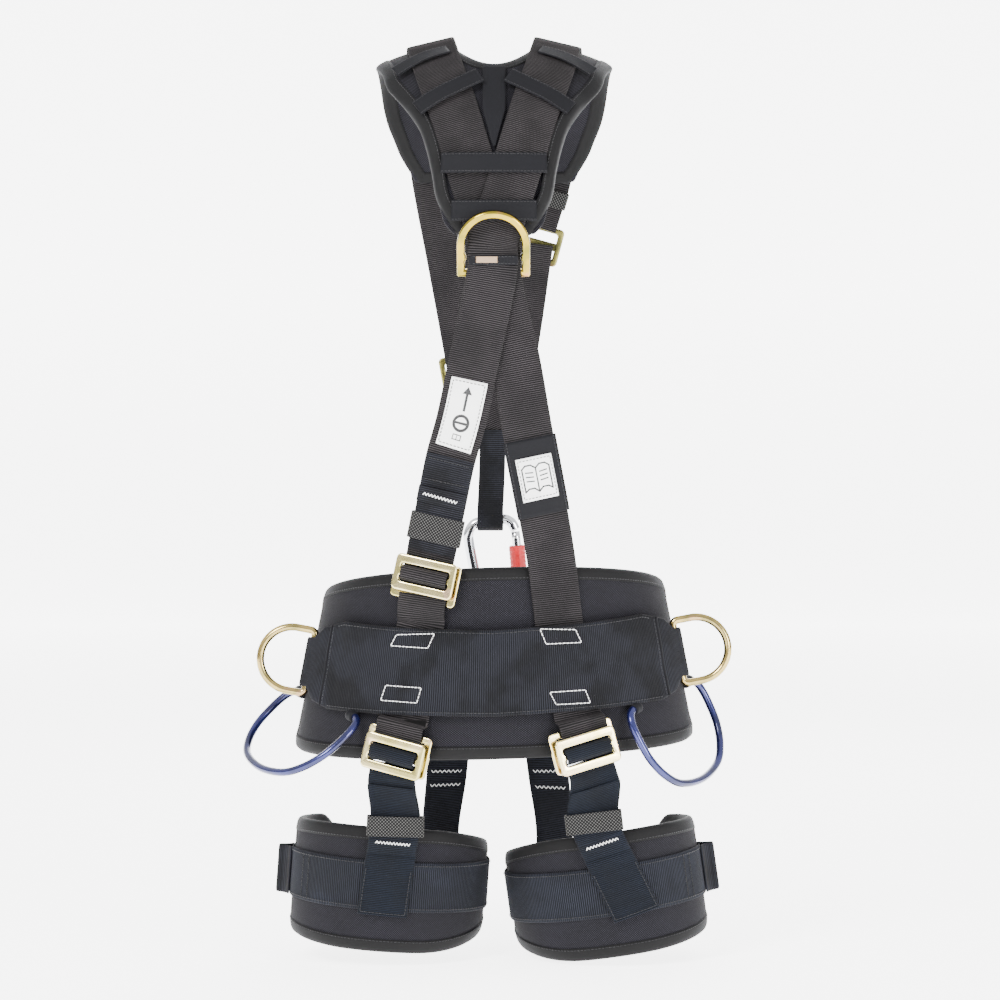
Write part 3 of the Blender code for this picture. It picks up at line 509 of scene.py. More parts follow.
def belt_normal(angle, z):
    turn = math.radians(angle)
    wide = BELT_HALF_WIDTH - BELT_WIDTH_TAPER * z
    deep = BELT_HALF_DEPTH - BELT_DEPTH_TAPER * z
    rise = (BELT_DEPTH_TAPER * wide * math.cos(turn) ** 2
            + BELT_WIDTH_TAPER * deep * math.sin(turn) ** 2)
    return Vector((math.sin(turn) * deep, -math.cos(turn) * wide, rise)).normalized()


def leg(side, angle, height, out):
    """A point on a leg loop: angle in degrees from the back, positive to the outer side."""
    data = LEGS[side]
    turn = math.radians(angle)
    local = Vector((
        data["sign"] * (LEG_RADII[0] + out) * math.sin(turn),
        -(LEG_RADII[1] + out) * math.cos(turn),
        height,
    ))
    return data["centre"] + Matrix.Rotation(math.radians(data["tilt"]), 3, "Y") @ local


# ---------------------------------------------------------------- making pieces
def finish_piece(obj, finish, body_name, nodes):
    obj.data.materials.clear()
    obj.data.materials.append(MATERIALS[finish])
    if obj.name not in SCENE.collection.objects:
        SCENE.collection.objects.link(obj)
    SLOTS.get(finish, finish)
    if nodes:
        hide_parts(*nodes)
    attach(obj, body_name)
    return obj


def mesh_piece(name, verts, faces, uvs, finish, body_name=ROOT, nodes=(), flat=False):
    """A piece from vertices in millimetres, with each vertex's place on the cloth."""
    mesh = bpy.data.meshes.new(name)
    mesh.from_pydata([tuple(Vector(v) * MM) for v in verts], [], faces)
    if uvs:
        layer = mesh.uv_layers.new(name="weave")
        for loop in mesh.loops:
            u, v = uvs[loop.vertex_index]
            layer.data[loop.index].uv = (u * MM, v * MM)
    bm = bmesh.new()
    bm.from_mesh(mesh)
    bmesh.ops.recalc_face_normals(bm, faces=bm.faces)
    bm.to_mesh(mesh)
    bm.free()
    if not flat:
        mesh.polygons.foreach_set("use_smooth", [True] * len(mesh.polygons))
    return finish_piece(bpy.data.objects.new(name, mesh), finish, body_name, nodes)


def loft(sections, closed=False):
    """Faces through rings of equal length, with the two ends filled unless closed."""
    verts = [v for section in sections for v in section]
    size = len(sections[0])
    count = len(sections)
    faces = []
    for i in range(count if closed else count - 1):
        low, high = i * size, (i + 1) % count * size
        for k in range(size):
            faces.append((low + k, low + (k + 1) % size, high + (k + 1) % size, high + k))
    if not closed:
        faces.append(tuple(range(size)))
        faces.append(tuple(range((count - 1) * size, count * size)))
    return verts, faces


def route_sides(points, normals):
    """The direction across a strap at each point, kept steady round tight folds."""
    sides = []
    for i, normal in enumerate(normals):
        ahead = points[min(i + 1, len(points) - 1)]
        behind = points[max(i - 1, 0)]
        side = (ahead - behind).normalized().cross(normal)
        if side.length < 0.4 and sides:
            side = sides[-1].copy()
        if sides and side.dot(sides[-1]) < 0:
            side.negate()
        sides.append(side.normalized())
    return sides


def resample(stations, per_span, step):
    """Evenly spaced points and normals along stations of (point, normal)."""
    rows = smooth([(*p, *n) for p, n in stations], per_span)
    lengths = running([row[:3] for row in rows])
    count = max(3, round(lengths[-1] / step))
    points, normals = [], []
    for i in range(count + 1):
        k, t = locate(lengths, lengths[-1] * i / count)
        row = [blend(a, b, t) for a, b in zip(rows[k], rows[k + 1])]
        points.append(Vector(row[:3]))
        normals.append(Vector(row[3:]).normalized())
    return points, normals, lengths[-1]


# places across a strap, as shares of its half width, with how much rib shows there
ACROSS = [(-0.96, 0.4), (-0.86, 1.0), (-0.45, 1.0), (0.0, 1.0), (0.45, 1.0), (0.86, 1.0), (0.96, 0.4)]


def tuck(point, limit):
    """Keeps a strap's edge under the yoke's binding, which is sewn over it."""
    if limit is None or point.y > -50:
        return point
    most = limit(point.z)
    return Vector((max(-most, min(most, point.x)), point.y, point.z))


def web_section(point, side, normal, width, thick, rib, wave):
    """One ring of a strap: its outer face, an edge, its inner face and the other edge."""
    ring, us = [], []
    for face in (1, -1):
        for share, show in ACROSS if face == 1 else reversed(ACROSS):
            round_off = thick * 0.12 if abs(share) > 0.9 else 0.0
            lift = thick / 2 - round_off + rib * show * wave
            ring.append(point + side * (share * width / 2) + normal * (face * lift))
            us.append(share * width / 2)
        ring.append(point + side * (face * width / 2))
        us.append(face * width / 2)
    return ring, us


def web(name, stations, width, thick, finish, body_name=ROOT, nodes=(), rib=RIB_HEIGHT, per_span=6,
        pitch=RIB_PITCH, limit=None):
    """Webbing along stations of (point, outward normal), with real cross ribs. width may be a
    function of the share of the length."""
    step = pitch / 3 if rib else 3.0
    points, normals, length = resample(stations, per_span, step)
    sides = route_sides(points, normals)
    sections, uvs = [], []
    last = len(points) - 1
    thick -= 2 * rib
    for i, (point, side) in enumerate(zip(points, sides)):
        tangent = (points[min(i + 1, last)] - points[max(i - 1, 0)]).normalized()
        normal = side.cross(tangent).normalized()
        along = length * i / last
        wide = width(i / last) if callable(width) else width
        wave = math.cos(2 * math.pi * along / pitch) if 0 < i < last else 0.0
        ring, us = web_section(point, side, normal, wide, thick, rib, wave)
        sections.append([tuck(v, limit) for v in ring])
        uvs += [(u, along) for u in us]
    mesh_piece(name, *loft(sections), uvs, finish, body_name, nodes)


def cloth_panel(name, place, length, width, thick, finish, nodes=(), closed=False, rib=RIB_HEIGHT,
                pitch=RIB_PITCH):
    """Webbing whose middle surface is place(u, w), u along it and w across, both from 0 to 1."""
    rows = max(4, round(length / (pitch / 3))) if rib else max(4, round(length / 3))
    if closed:
        rows -= rows % 3
    columns = max(4, round(width / 7))
    shares = [0.0, 0.02, 0.07] + [k / columns for k in range(1, columns)] + [0.93, 0.98, 1.0]
    thick -= 2 * rib
    grid = [[place(i / rows, w) for w in shares] for i in range(rows if closed else rows + 1)]
    count = len(grid)
    sections, uvs = [], []
    for i, row in enumerate(grid):
        ahead = grid[(i + 1) % count] if closed else grid[min(i + 1, count - 1)]
        behind = grid[(i - 1) % count] if closed else grid[max(i - 1, 0)]
        along = length * i / rows
        wave = math.cos(2 * math.pi * along / pitch)
        if not closed and i in (0, count - 1):
            wave = 0.0
        outer, inner = [], []
        for k, w in enumerate(shares):
            tangent = ahead[k] - behind[k]
            beside = row[min(k + 1, len(row) - 1)] - row[max(k - 1, 0)]
            normal = tangent.cross(beside).normalized()
            if k in (0, len(shares) - 1):
                outer.append(row[k])
                continue
            taper = 0.76 if k in (1, len(shares) - 2) else 1.0
            lift = thick / 2 * taper + rib * wave * taper
            outer.append(row[k] + normal * lift)
            inner.append(row[k] - normal * lift)
        sections.append(outer + inner[::-1])
        across = [(w - 0.5) * width for w in shares]
        uvs += [(u, along) for u in across + across[1:-1][::-1]]
    mesh_piece(name, *loft(sections, closed), uvs, finish, ROOT, nodes)


def torso_stations(rows, per_span=3):
    """Stations from rows of (x, distance along the profile, distance out)."""
    return [(torso(x, s, out), body_normal(x, s)) for x, s, out in smooth(rows, per_span)]


def part_of(stations, start, end, lift, count=5):
    """Stations for a piece lying on a strap between two heights, lifted off its middle."""
    rows = smooth([(*p, *n) for p, n in stations], 4)
    on_back = sorted(((row[2], row) for row in rows if row[4] < 0.2), key=lambda pair: pair[0])
    result = []
    for k in range(count):
        z = blend(start, end, k / (count - 1))
        values = [table([(h, row[axis]) for h, row in on_back], z) for axis in range(6)]
        normal = Vector(values[3:]).normalized()
        result.append((Vector(values[:3]) + normal * lift, normal))
    return result


def local_frame(point, normal, up):
    """Matrix with its X across, Y along up and Z along normal, at a point in millimetres."""
    normal = normal.normalized()
    up = (up - normal * up.dot(normal)).normalized()
    across = up.cross(normal)
    matrix = Matrix((across, up, normal)).transposed().to_4x4()
    matrix.translation = point
    return matrix


def moved(matrix, across=0.0, up=0.0, out=0.0):
    return matrix @ Matrix.Translation(Vector((across, up, out)))


def frame_on(stations, height, lift=0.0):
    """Local frame on a back strap at a height, with its Y up the strap."""
    low, middle, high = part_of(stations, height - 4, height + 4, 0.0, 3)
    matrix = local_frame(middle[0], middle[1], high[0] - low[0])
    return moved(matrix, out=lift)


def tube(name, points, radius, finish, body_name=ROOT, nodes=(), cyclic=False, sides=14, cap=0.6,
         flat=1.0):
    """Round bar along points, with domed ends."""
    count = len(points)

    def ring(centre, up, beside, share=1.0):
        r = radius * share
        return [
            centre + up * (r * math.cos(2 * math.pi * k / sides))
            + beside * (r * flat * math.sin(2 * math.pi * k / sides))
            for k in range(sides)
        ]

    sections = []
    up = None
    for i, point in enumerate(points):
        ahead = points[(i + 1) % count] if cyclic else points[min(i + 1, count - 1)]
        behind = points[i - 1] if cyclic or i else points[0]
        tangent = (ahead - behind).normalized()
        if up is None:
            up = tangent.orthogonal().normalized()
        up = (up - tangent * up.dot(tangent)).normalized()
        beside = tangent.cross(up)
        sections.append(ring(point, up, beside))
        if cyclic or i not in (0, count - 1):
            continue
        way = -1 if i == 0 else 1
        dome = [
            ring(point + tangent * (way * radius * cap * onward), up, beside, share)
            for share, onward in ((0.85, 0.6), (0.55, 1.0))
        ]
        sections = dome[::-1] + sections if i == 0 else sections + dome
    mesh_piece(name, *loft(sections, cyclic), None, finish, body_name, nodes)


def rounded_outline(width, height, radius, steps=5):
    """Corner points of a rectangle with round corners, about its centre."""
    points = []
    corners = [(1, 1, 0), (-1, 1, 90), (-1, -1, 180), (1, -1, 270)]
    for sx, sy, turn in corners:
        cx, cy = sx * (width / 2 - radius), sy * (height / 2 - radius)
        for k in range(steps + 1):
            a = math.radians(turn + 90 * k / steps)
            points.append((cx + radius * math.cos(a), cy + radius * math.sin(a)))
    return points


def plate(name, outlines, thick, edge, matrix, finish, body_name=ROOT, nodes=()):
    """A plate with rounded edges from 2D outlines, the first its outside and the rest its holes."""
    curve = bpy.data.curves.new(name, "CURVE")
    curve.dimensions = "2D"
    curve.fill_mode = "BOTH"
    curve.extrude = thick / 2 - edge
    curve.bevel_depth = edge
    curve.bevel_resolution = 3
    curve.offset = -edge
    for outline in outlines:
        spline = curve.splines.new("POLY")
        spline.points.add(len(outline) - 1)
        for point, (x, y) in zip(spline.points, outline):
            point.co = (x, y, 0, 1)
        spline.use_cyclic_u = True
    source = bpy.data.objects.new(name + "_source", curve)
    SCENE.collection.objects.link(source)
    graph = bpy.context.evaluated_depsgraph_get()
    mesh = bpy.data.meshes.new_from_object(source.evaluated_get(graph))
    bpy.data.objects.remove(source)
    bpy.data.curves.remove(curve)
    bm = bmesh.new()
    bm.from_mesh(mesh)
    bmesh.ops.remove_doubles(bm, verts=bm.verts, dist=0.001)
    bmesh.ops.recalc_face_normals(bm, faces=bm.faces)
    verts = [v.co.copy() for v in bm.verts]
    faces = [tuple(v.index for v in face.verts) for face in bm.faces]
    bm.free()
    bpy.data.meshes.remove(mesh)
    uvs = [(v.x, v.z) for v in verts]
    obj = mesh_piece(name, [matrix @ v for v in verts], faces, uvs, finish, body_name, nodes)
    sharp = obj.modifiers.new("shade", "WEIGHTED_NORMAL")
    sharp.keep_sharp = True


# ---------------------------------------------------------------- thread
STITCHES = {}


def stitch(start, end, radius, finish, body_name):
    """One stitch: a short rounded length of thread."""
    verts, faces = STITCHES.setdefault((finish, body_name), ([], []))
    line = end - start
    length = line.length
    line.normalize()
    across = line.orthogonal().normalized()
    beside = line.cross(across)
    base = len(verts)
    for where, share in ((0, 0.45), (0.16, 1.0), (0.84, 1.0), (1, 0.45)):
        for k in range(6):
            turn = math.radians(60 * k)
            ray = across * math.cos(turn) + beside * math.sin(turn)
            verts.append(start + line * (length * where) + ray * (radius * share))
    for ring in range(3):
        for k in range(6):
            a = base + ring * 6 + k
            b = base + ring * 6 + (k + 1) % 6
            faces.append((a, b, b + 6, a + 6))
    faces.append(tuple(base + k for k in reversed(range(6))))
    faces.append(tuple(base + 18 + k for k in range(6)))


def seam(points, finish="white_thread", body_name=ROOT, length=2.7, gap=0.7, radius=0.36):
    """A row of stitches along points."""
    lengths = running(points)

    def at(where):
        k, t = locate(lengths, where)
        return points[k].lerp(points[k + 1], t)

    count = max(1, round(lengths[-1] / (length + gap)))
    pitch = lengths[-1] / count
    for i in range(count):
        stitch(at(i * pitch + gap / 2), at((i + 1) * pitch - gap / 2), radius, finish, body_name)


def bar_tack(a, b, normal, height, pitch=1.5):
    """Dense zigzag from a to b."""
    line = b - a
    across = normal.cross(line).normalized() * (height / 2)
    count = max(2, round(line.length / pitch))
    for i in range(count):
        side = 1 if i % 2 else -1
        stitch(a + line * (i / count) + across * side, a + line * ((i + 1) / count) - across * side,
               0.42, "white_thread", ROOT)


def make_stitches():
    for (finish, body_name), (verts, faces) in STITCHES.items():
        mesh_piece(f"stitches_{finish}_{body_name}", verts, faces, None, finish, body_name)


# ---------------------------------------------------------------- pads
PUFFED = []
EDGE_ROLL = 16.0
BINDING_WIDTH = 11.0


def crown(distance):
    """How full a pad is at a distance in from its edge, from 0.45 at the edge to 1."""
    t = min(1.0, max(0.0, distance / EDGE_ROLL))
    return 0.45 + 0.55 * math.sqrt(1 - (1 - t) ** 2)


def to_line(line, a, b):
    """Distance of a flat point from a line of flat points."""
    best = 1e9
    for (x0, y0), (x1, y1) in zip(line, line[1:]):
        dx, dy = x1 - x0, y1 - y0
        t = min(1.0, max(0.0, ((a - x0) * dx + (b - y0) * dy) / (dx * dx + dy * dy or 1)))
        best = min(best, math.hypot(a - x0 - dx * t, b - y0 - dy * t))
    return best


def pad_piece(name, flat, surface, outline, rows, cols, low, high, nodes, mirrored=False, covered=None):
    """A padded form over surface(a, b, out), where flat(u, w) is the cloth's own (a, b)."""
    edge = outline + outline[:1]
    middle = (low + high) / 2
    half = (high - low) / 2
    bm = bmesh.new()
    layer = bm.loops.layers.uv.new("weave")
    firm = bm.verts.layers.float.new("firm")
    places = {}

    def vertex(a, b, face, distance):
        vert = bm.verts.new(surface(a, b, middle + face * half * crown(distance)) * MM)
        places[vert] = (a, b)
        shade = covered(a, b) if covered else 0.0
        vert[firm] = max(shade, 1 - smoothstep(BINDING_WIDTH * 0.9, BINDING_WIDTH * 2.2, distance))
        return vert

    def sheet_of(face):
        grid = []
        for i in range(rows + 1):
            row = []
            for k in range(cols + 1):
                u, w = i / rows, k / cols
                a, b = flat(u, w)
                row.append(vertex(a, b, face, to_line(edge, a, b)))
            grid.append(row)
        return grid

    top, under = sheet_of(1), sheet_of(-1)
    for grid in (top, under):
        for i in range(rows):
            for k in range(cols):
                bm.faces.new((grid[i][k], grid[i + 1][k], grid[i + 1][k + 1], grid[i][k + 1]))
    rim = [(i, 0) for i in range(rows)] + [(rows, k) for k in range(cols)]
    rim += [(i, cols) for i in range(rows, 0, -1)] + [(0, k) for k in range(cols, 0, -1)]
    for (i, k), (j, m) in zip(rim, rim[1:] + rim[:1]):
        inner_edge = mirrored and k == 0 and m == 0
        if inner_edge and abs(places[top[i][k]][0]) < 0.01 and abs(places[top[j][m]][0]) < 0.01:
            continue
        if len({top[i][k], top[j][m], under[j][m], under[i][k]}) == 4:
            bm.faces.new((top[i][k], top[j][m], under[j][m], under[i][k]))
    for face in bm.faces:
        for loop in face.loops:
            a, b = places[loop.vert]
            loop[layer].uv = (a * MM, b * MM)
    if mirrored:
        copy = bmesh.ops.duplicate(bm, geom=bm.verts[:] + bm.edges[:] + bm.faces[:])
        twins = [item for item in copy["geom"] if isinstance(item, bmesh.types.BMVert)]
        for vert in twins:
            vert.co.x = -vert.co.x
        for item in copy["geom"]:
            if isinstance(item, bmesh.types.BMFace):
                for loop in item.loops:
                    loop[layer].uv.x = -loop[layer].uv.x
    bmesh.ops.remove_doubles(bm, verts=bm.verts, dist=0.00002)
    bmesh.ops.recalc_face_normals(bm, faces=bm.faces)
    mesh = bpy.data.meshes.new(name)
    firmness = [vert[firm] for vert in bm.verts]
    bm.to_mesh(mesh)
    bm.free()
    mesh.polygons.foreach_set("use_smooth", [True] * len(mesh.polygons))
    obj = bpy.data.objects.new(name, mesh)
    finish_piece(obj, "pad", ROOT, nodes)
    group = obj.vertex_groups.new(name="firm")
    for i, weight in enumerate(firmness):
        group.add([i], weight, "REPLACE")
    PUFFED.append(obj)


def puff_pads(most):
    """Blows the pads up by cloth simulation, held at their bindings and under the straps."""
    for obj in PUFFED:
        cloth = obj.modifiers.new("puff", "CLOTH")
        settings = cloth.settings
        settings.use_pressure = True
        settings.uniform_pressure_force = 4.0
        settings.effector_weights.gravity = 0
        settings.vertex_group_mass = "firm"
        settings.quality = 5
        settings.tension_stiffness = settings.compression_stiffness = 12
        settings.bending_stiffness = 0.4
        cloth.point_cache.frame_start = 1
        cloth.point_cache.frame_end = 20
    for step in range(1, 21):
        SCENE.frame_set(step)
    graph = bpy.context.evaluated_depsgraph_get()
    for obj in PUFFED:
        blown = obj.evaluated_get(graph).data
        group = obj.vertex_groups["firm"].index
        moves = []
        for vert, grown in zip(obj.data.vertices, blown.vertices):
            weight = next((g.weight for g in vert.groups if g.group == group), 0.0)
            limit = most * MM * (1 - weight)
            move = grown.co - vert.co
            if move.length > limit:
                move = move.normalized() * limit if move.length else move
            moves.append(vert.co + move)
        for vert, co in zip(obj.data.vertices, moves):
            vert.co = co
        obj.modifiers.clear()
        settle_pad(obj)
    SCENE.frame_set(1)


def settle_pad(obj):
    fine = obj.modifiers.new("fine", "SUBSURF")
    fine.levels = fine.render_levels = 1
    obj.vertex_groups.clear()


def binding(name, outline, surface, low, high, rides_out=0.55, lifted=None):
    """Edging tape folded over a pad's rim. outline is a closed list of the pad's own (a, b)."""
    middle = (low + high) / 2
    half = (high - low) / 2
    dense = smooth(outline + outline[:3], 3)
    dense = dense[3:len(outline) * 3 + 3]
    lengths = running(dense + dense[:1])
    count = round(lengths[-1] / 2.4)
    loop = []
    for i in range(count):
        k, t = locate(lengths, lengths[-1] * i / count)
        loop.append([blend(a, b, t) for a, b in zip(dense[k], dense[(k + 1) % len(dense)])])
    area = sum(p[0] * q[1] - q[0] * p[1] for p, q in zip(loop, loop[1:] + loop[:1]))
    turn = 1 if area > 0 else -1
    profile = [(BINDING_WIDTH, 0.2), (BINDING_WIDTH, rides_out), (8, rides_out + 0.1), (5, rides_out + 0.1),
               (2.2, rides_out), (0.2, 0.2)]
    sections, uvs, row = [], [], []
    for i, (a, b) in enumerate(loop):
        before, after = loop[i - 3], loop[(i + 3) % count]
        da, db = after[0] - before[0], after[1] - before[1]
        size = math.hypot(da, db)
        inward = (-db / size * turn, da / size * turn)
        along = lengths[-1] * i / count

        def at(inset, out):
            return surface(a + inward[0] * inset, b + inward[1] * inset, out)

        extra = lifted(a, b) if lifted else 0.0
        ring = [at(d, middle + half * crown(d) + lift + extra * smoothstep(-1, 3, d)) for d, lift in profile]
        ring += [at(-0.9, middle + half * 0.2), at(-0.9, middle - half * 0.2)]
        ring += [at(d, middle - half * crown(d) - lift) for d, lift in reversed(profile)]
        sections.append(ring)
        uvs += [(d, along) for d, _ in profile] + [(-3, along), (-5, along)]
        uvs += [(-8 - d, along) for d, _ in reversed(profile)]
        thread_in = BINDING_WIDTH - 1.8
        row.append(at(thread_in, middle + half * crown(thread_in) + rides_out + 0.1 + extra))
    mesh_piece(name, *loft(sections, True), uvs, "edging")
    seam(row + row[:1], "black_thread", radius=0.3, length=2.4, gap=0.9)


# ---------------------------------------------------------------- shoulder straps
# (x, distance along the profile, distance out) from the chest over the shoulder and down the back
LEFT_ROWS = [
    (-24, front(275), 2.4), (-33, front(325), 2.4), (-44, front(385), 4), (-53, front(435), 10.4),
    (-58, front(470), 10.4), (-60, front(520), 10.4), (-59, front(550), 11), (-56, back(562), 11),
    (-50, back(540), 9.7), (-38, back(501), 9.8), (-24.5, back(454), 9.8), (-11.5, back(412), 9.8),
    (-3.5, back(388), 10.4), (0.4, back(370), 10.4), (0.9, back(350), 10.4), (6, back(322), 10.4),
    (18, back(270), 9), (29, back(208), 7), (42, back(140), 4.5), (51, back(90), 2.4),
    (56, back(50), 1.9), (60, back(20), 1.9), (69, back(-20), 1.9), (74.5, back(-49), 1.9),
    (75.2, back(-52), 4.8), (76, back(-55.5), 10), (78, back(-63), 9.4), (80.5, back(-72), 8.8),
]
RIGHT_ROWS = [
    (37, front(408), 6), (43, front(428), 10), (51, front(455), 10.4), (58, front(505), 10.2),
    (59, front(548), 11), (56, back(562), 11), (50, back(540), 10.8), (38, back(501), 11.8),
    (24.5, back(454), 12.8), (11.5, back(412), 13), (3.5, back(388), 14), (-0.6, back(370), 14),
    (-1.2, back(350), 14), (-6, back(322), 14), (-18, back(264), 13), (-28, back(216), 11.8),
    (-37.5, back(181), 10.5), (-45, back(144), 9.3), (-52, back(108), 8.5), (-58, back(78), 8.3),
    (-60, back(68), 8.3),
]
LOWER_ROWS = [
    (-61.5, back(58), 8.3), (-63, back(48), 8.1), (-64.2, back(40), 5.0), (-65, back(33), 2.3),
    (-67, back(24), 1.9), (-71, back(0), 1.9), (-79, back(-51.5), 1.9), (-79.8, back(-54.5), 4.8),
    (-80.6, back(-57.5), 10.4), (-82, back(-64), 9.8), (-84.5, back(-74), 8.8),
]
LEFT_STRAP = torso_stations(LEFT_ROWS)
RIGHT_STRAP = torso_stations(RIGHT_ROWS)
LOWER_STRAP = torso_stations(LOWER_ROWS)


# ---------------------------------------------------------------- yoke
PAD_THICK = 8.0
YOKE_BOTTOM = back(381)
YOKE_NECK = back(537)
YOKE_RIDGE = back(566)
YOKE_END = front(450)
YOKE_OUTER = [
    (back(381), 36), (back(390), 44), (back(417), 51), (back(446), 56), (back(476), 64), (back(505), 78),
    (back(535), 95), (YOKE_RIDGE, 108), (front(528), 102), (front(481), 89), (front(450), 76),
]
YOKE_INNER = [(YOKE_RIDGE, 39), (front(500), 34), (front(450), 30)]


def yoke_inner(s):
    """Half width of the gap between the pad's two arms: nothing below the neck."""
    if s <= YOKE_NECK:
        return 0.0
    if s < YOKE_RIDGE:
        rise = (YOKE_RIDGE - s) / (YOKE_RIDGE - YOKE_NECK)
        return YOKE_INNER[0][1] * math.sqrt(1 - rise ** 2)
    return table(YOKE_INNER, s)


def strap_room(z):
    """Half the width between the yoke's bindings at a height on the back."""
    free = 200 * max(smoothstep(502, 520, z), 1 - smoothstep(378, 384, z))
    return table(YOKE_OUTER, back(z)) - BINDING_WIDTH + 2.5 + free


def shoulder_straps():
    for side, stations in (("left", LEFT_STRAP), ("right", RIGHT_STRAP)):
        web("strap_" + side, stations, WEB_WIDTH, WEB_THICK, "webbing", nodes=["shoulder_strap_" + side],
            limit=strap_room)
    web("strap_lower", LOWER_STRAP, WEB_WIDTH, WEB_THICK, "webbing", nodes=["back_strap_lower"])


def over_straps(x, s):
    """How much the yoke's binding is lifted where it is sewn over the straps."""
    height = 5.4 if x > 0 else 3.0
    return height * smoothstep(back(382), back(396), s) * (1 - smoothstep(back(490), back(520), s))


def yoke_half_outline():
    """The pad's right half from the bottom round to the neck."""
    half = [(18, YOKE_BOTTOM), (33, YOKE_BOTTOM + 1)]
    steps = 17
    for k in range(1, steps):
        s = blend(YOKE_BOTTOM + 6, YOKE_END - 4, k / steps)
        half.append((table(YOKE_OUTER, s), s))
    half += [(74, YOKE_END - 2), (66, YOKE_END), (44, YOKE_END), (36, YOKE_END - 2)]
    for k in range(1, 7):
        s = blend(YOKE_END - 6, YOKE_RIDGE, k / 6)
        half.append((yoke_inner(s), s))
    for k in range(1, 5):
        turn = math.radians(90 * k / 5)
        s = YOKE_RIDGE - (YOKE_RIDGE - YOKE_NECK) * math.sin(turn)
        half.append((YOKE_INNER[0][1] * math.cos(turn), s))
    return half


def yoke():
    half = yoke_half_outline()
    outline = [(0, YOKE_BOTTOM), *half, (0, YOKE_NECK), *[(-x, s) for x, s in reversed(half)]]
    lower_rows, neck_rows, front_rows = 34, 8, 30
    rows = lower_rows + neck_rows + front_rows

    def along(u):
        i = round(u * rows)
        if i <= lower_rows:
            return blend(YOKE_BOTTOM, YOKE_NECK, i / lower_rows)
        if i <= lower_rows + neck_rows:
            return blend(YOKE_RIDGE, YOKE_NECK, math.cos(math.radians(90 * (i - lower_rows) / neck_rows)))
        return blend(YOKE_RIDGE, YOKE_END, (i - lower_rows - neck_rows) / front_rows)

    def flat(u, w):
        s = along(u)
        return blend(yoke_inner(s), table(YOKE_OUTER, s), w), s

    paths = [[(x, s) for x, s, _ in rows] for rows in (LEFT_ROWS, RIGHT_ROWS)]

    def covered(a, b):
        near = min(min(to_line(path, a, b), to_line(path, -a, b)) for path in paths)
        return 1 - smoothstep(23, 34, near)

    pad_piece("yoke_cushion", flat, torso, outline, rows, 14, 0.0, PAD_THICK, ["yoke_pad"], True, covered)
    binding("yoke_edging", outline, torso, 0.0, PAD_THICK, lifted=over_straps)


def yoke_bands():
    """Smooth tapes sewn over the straps on the yoke."""
    def band(name, rows, width, node):
        stations = torso_stations(rows, 3)
        web(name, stations, width, BAND_THICK, "smooth_band", nodes=[node], rib=0)
        points, normals, _ = resample(stations, 4, 4.0)
        sides = route_sides(points, normals)
        for way in (-1, 1):
            edge = [p + s * (way * (width / 2 - 1.6)) + n * 0.66 for p, s, n in zip(points, sides, normals)]
            seam(edge, "black_thread", radius=0.28, length=2.2, gap=0.9)

    for side, sign in (("left", -1), ("right", 1)):
        band("shoulder_tape_" + side, [
            (sign * 86, back(541), 13.4), (sign * 62, back(546), 14.3), (sign * 40, back(549), 13.4),
        ], 18, "yoke_shoulder_band_" + side)
        band("chevron_tape_" + side, [
            (sign * 12, back(519), 16), (sign * 31, back(511), 16), (sign * 48, back(504), 16),
            (sign * 66, back(495), 15),
        ], 18, "yoke_chevron_" + side)
    centre = [(0, back(530), 12), (0, back(512), 11.5), (0, back(487), 11.5), (0, back(457), 11.5)]
    web("centre_tape", torso_stations(centre, 3), lambda t: blend(20.5, 2.5, max(0.0, t - 0.58) / 0.42),
        BAND_THICK, "smooth_band", nodes=["yoke_centre_band"], rib=0)
    for name, z, half_width in (("upper", 441, 45), ("lower", 400, 36)):
        band(name + "_tape", [
            (x, back(z), BAND_LAYER) for x in (-half_width, -half_width / 2, 0, half_width / 2, half_width)
        ], 19, f"yoke_{name}_band")


# ---------------------------------------------------------------- dorsal ring
DORSAL_HALF_WIDTH = 32.5
DORSAL_HEIGHT = 62.0
DORSAL_BAR = 7.0
DORSAL_LEAN = 25.0
DORSAL_FOOT = -3.5
DORSAL_PLACE = (-0.4, 347.0, 4.6)


def dorsal_ring():
    x, z, out = DORSAL_PLACE
    point = torso(x, back(z), out)
    upright = local_frame(point, body_normal(x, back(z)), Vector((0, 0, 1)))
    matrix = upright @ Matrix.Rotation(math.radians(DORSAL_LEAN), 4, "X")
    outer = DORSAL_HALF_WIDTH
    inner = outer - DORSAL_BAR
    foot = DORSAL_FOOT
    centre = DORSAL_HEIGHT + foot - outer
    arch = [math.radians(5 * k) for k in range(37)]
    edge = [(outer - 1.5, foot), (outer, foot + 1.5)]
    edge += [(outer * math.cos(a), centre + outer * math.sin(a)) for a in arch]
    edge += [(-outer, foot + 1.5), (-outer + 1.5, foot)]
    hole = [(inner * math.cos(a), centre + inner * math.sin(a)) for a in arch]
    lug = inner - 1.1
    hole += [(-inner, 19), (-lug, 17), (-lug, 13), (-inner, 11), (-inner, 3)]
    hole += [(inner, 3), (inner, 11), (lug, 13), (lug, 17), (inner, 19)]
    plate("dorsal_ring_forging", [edge, hole], DORSAL_BAR, 2.2, matrix, "gold_steel", "dorsal_ring",
          ["dorsal_d_ring"])


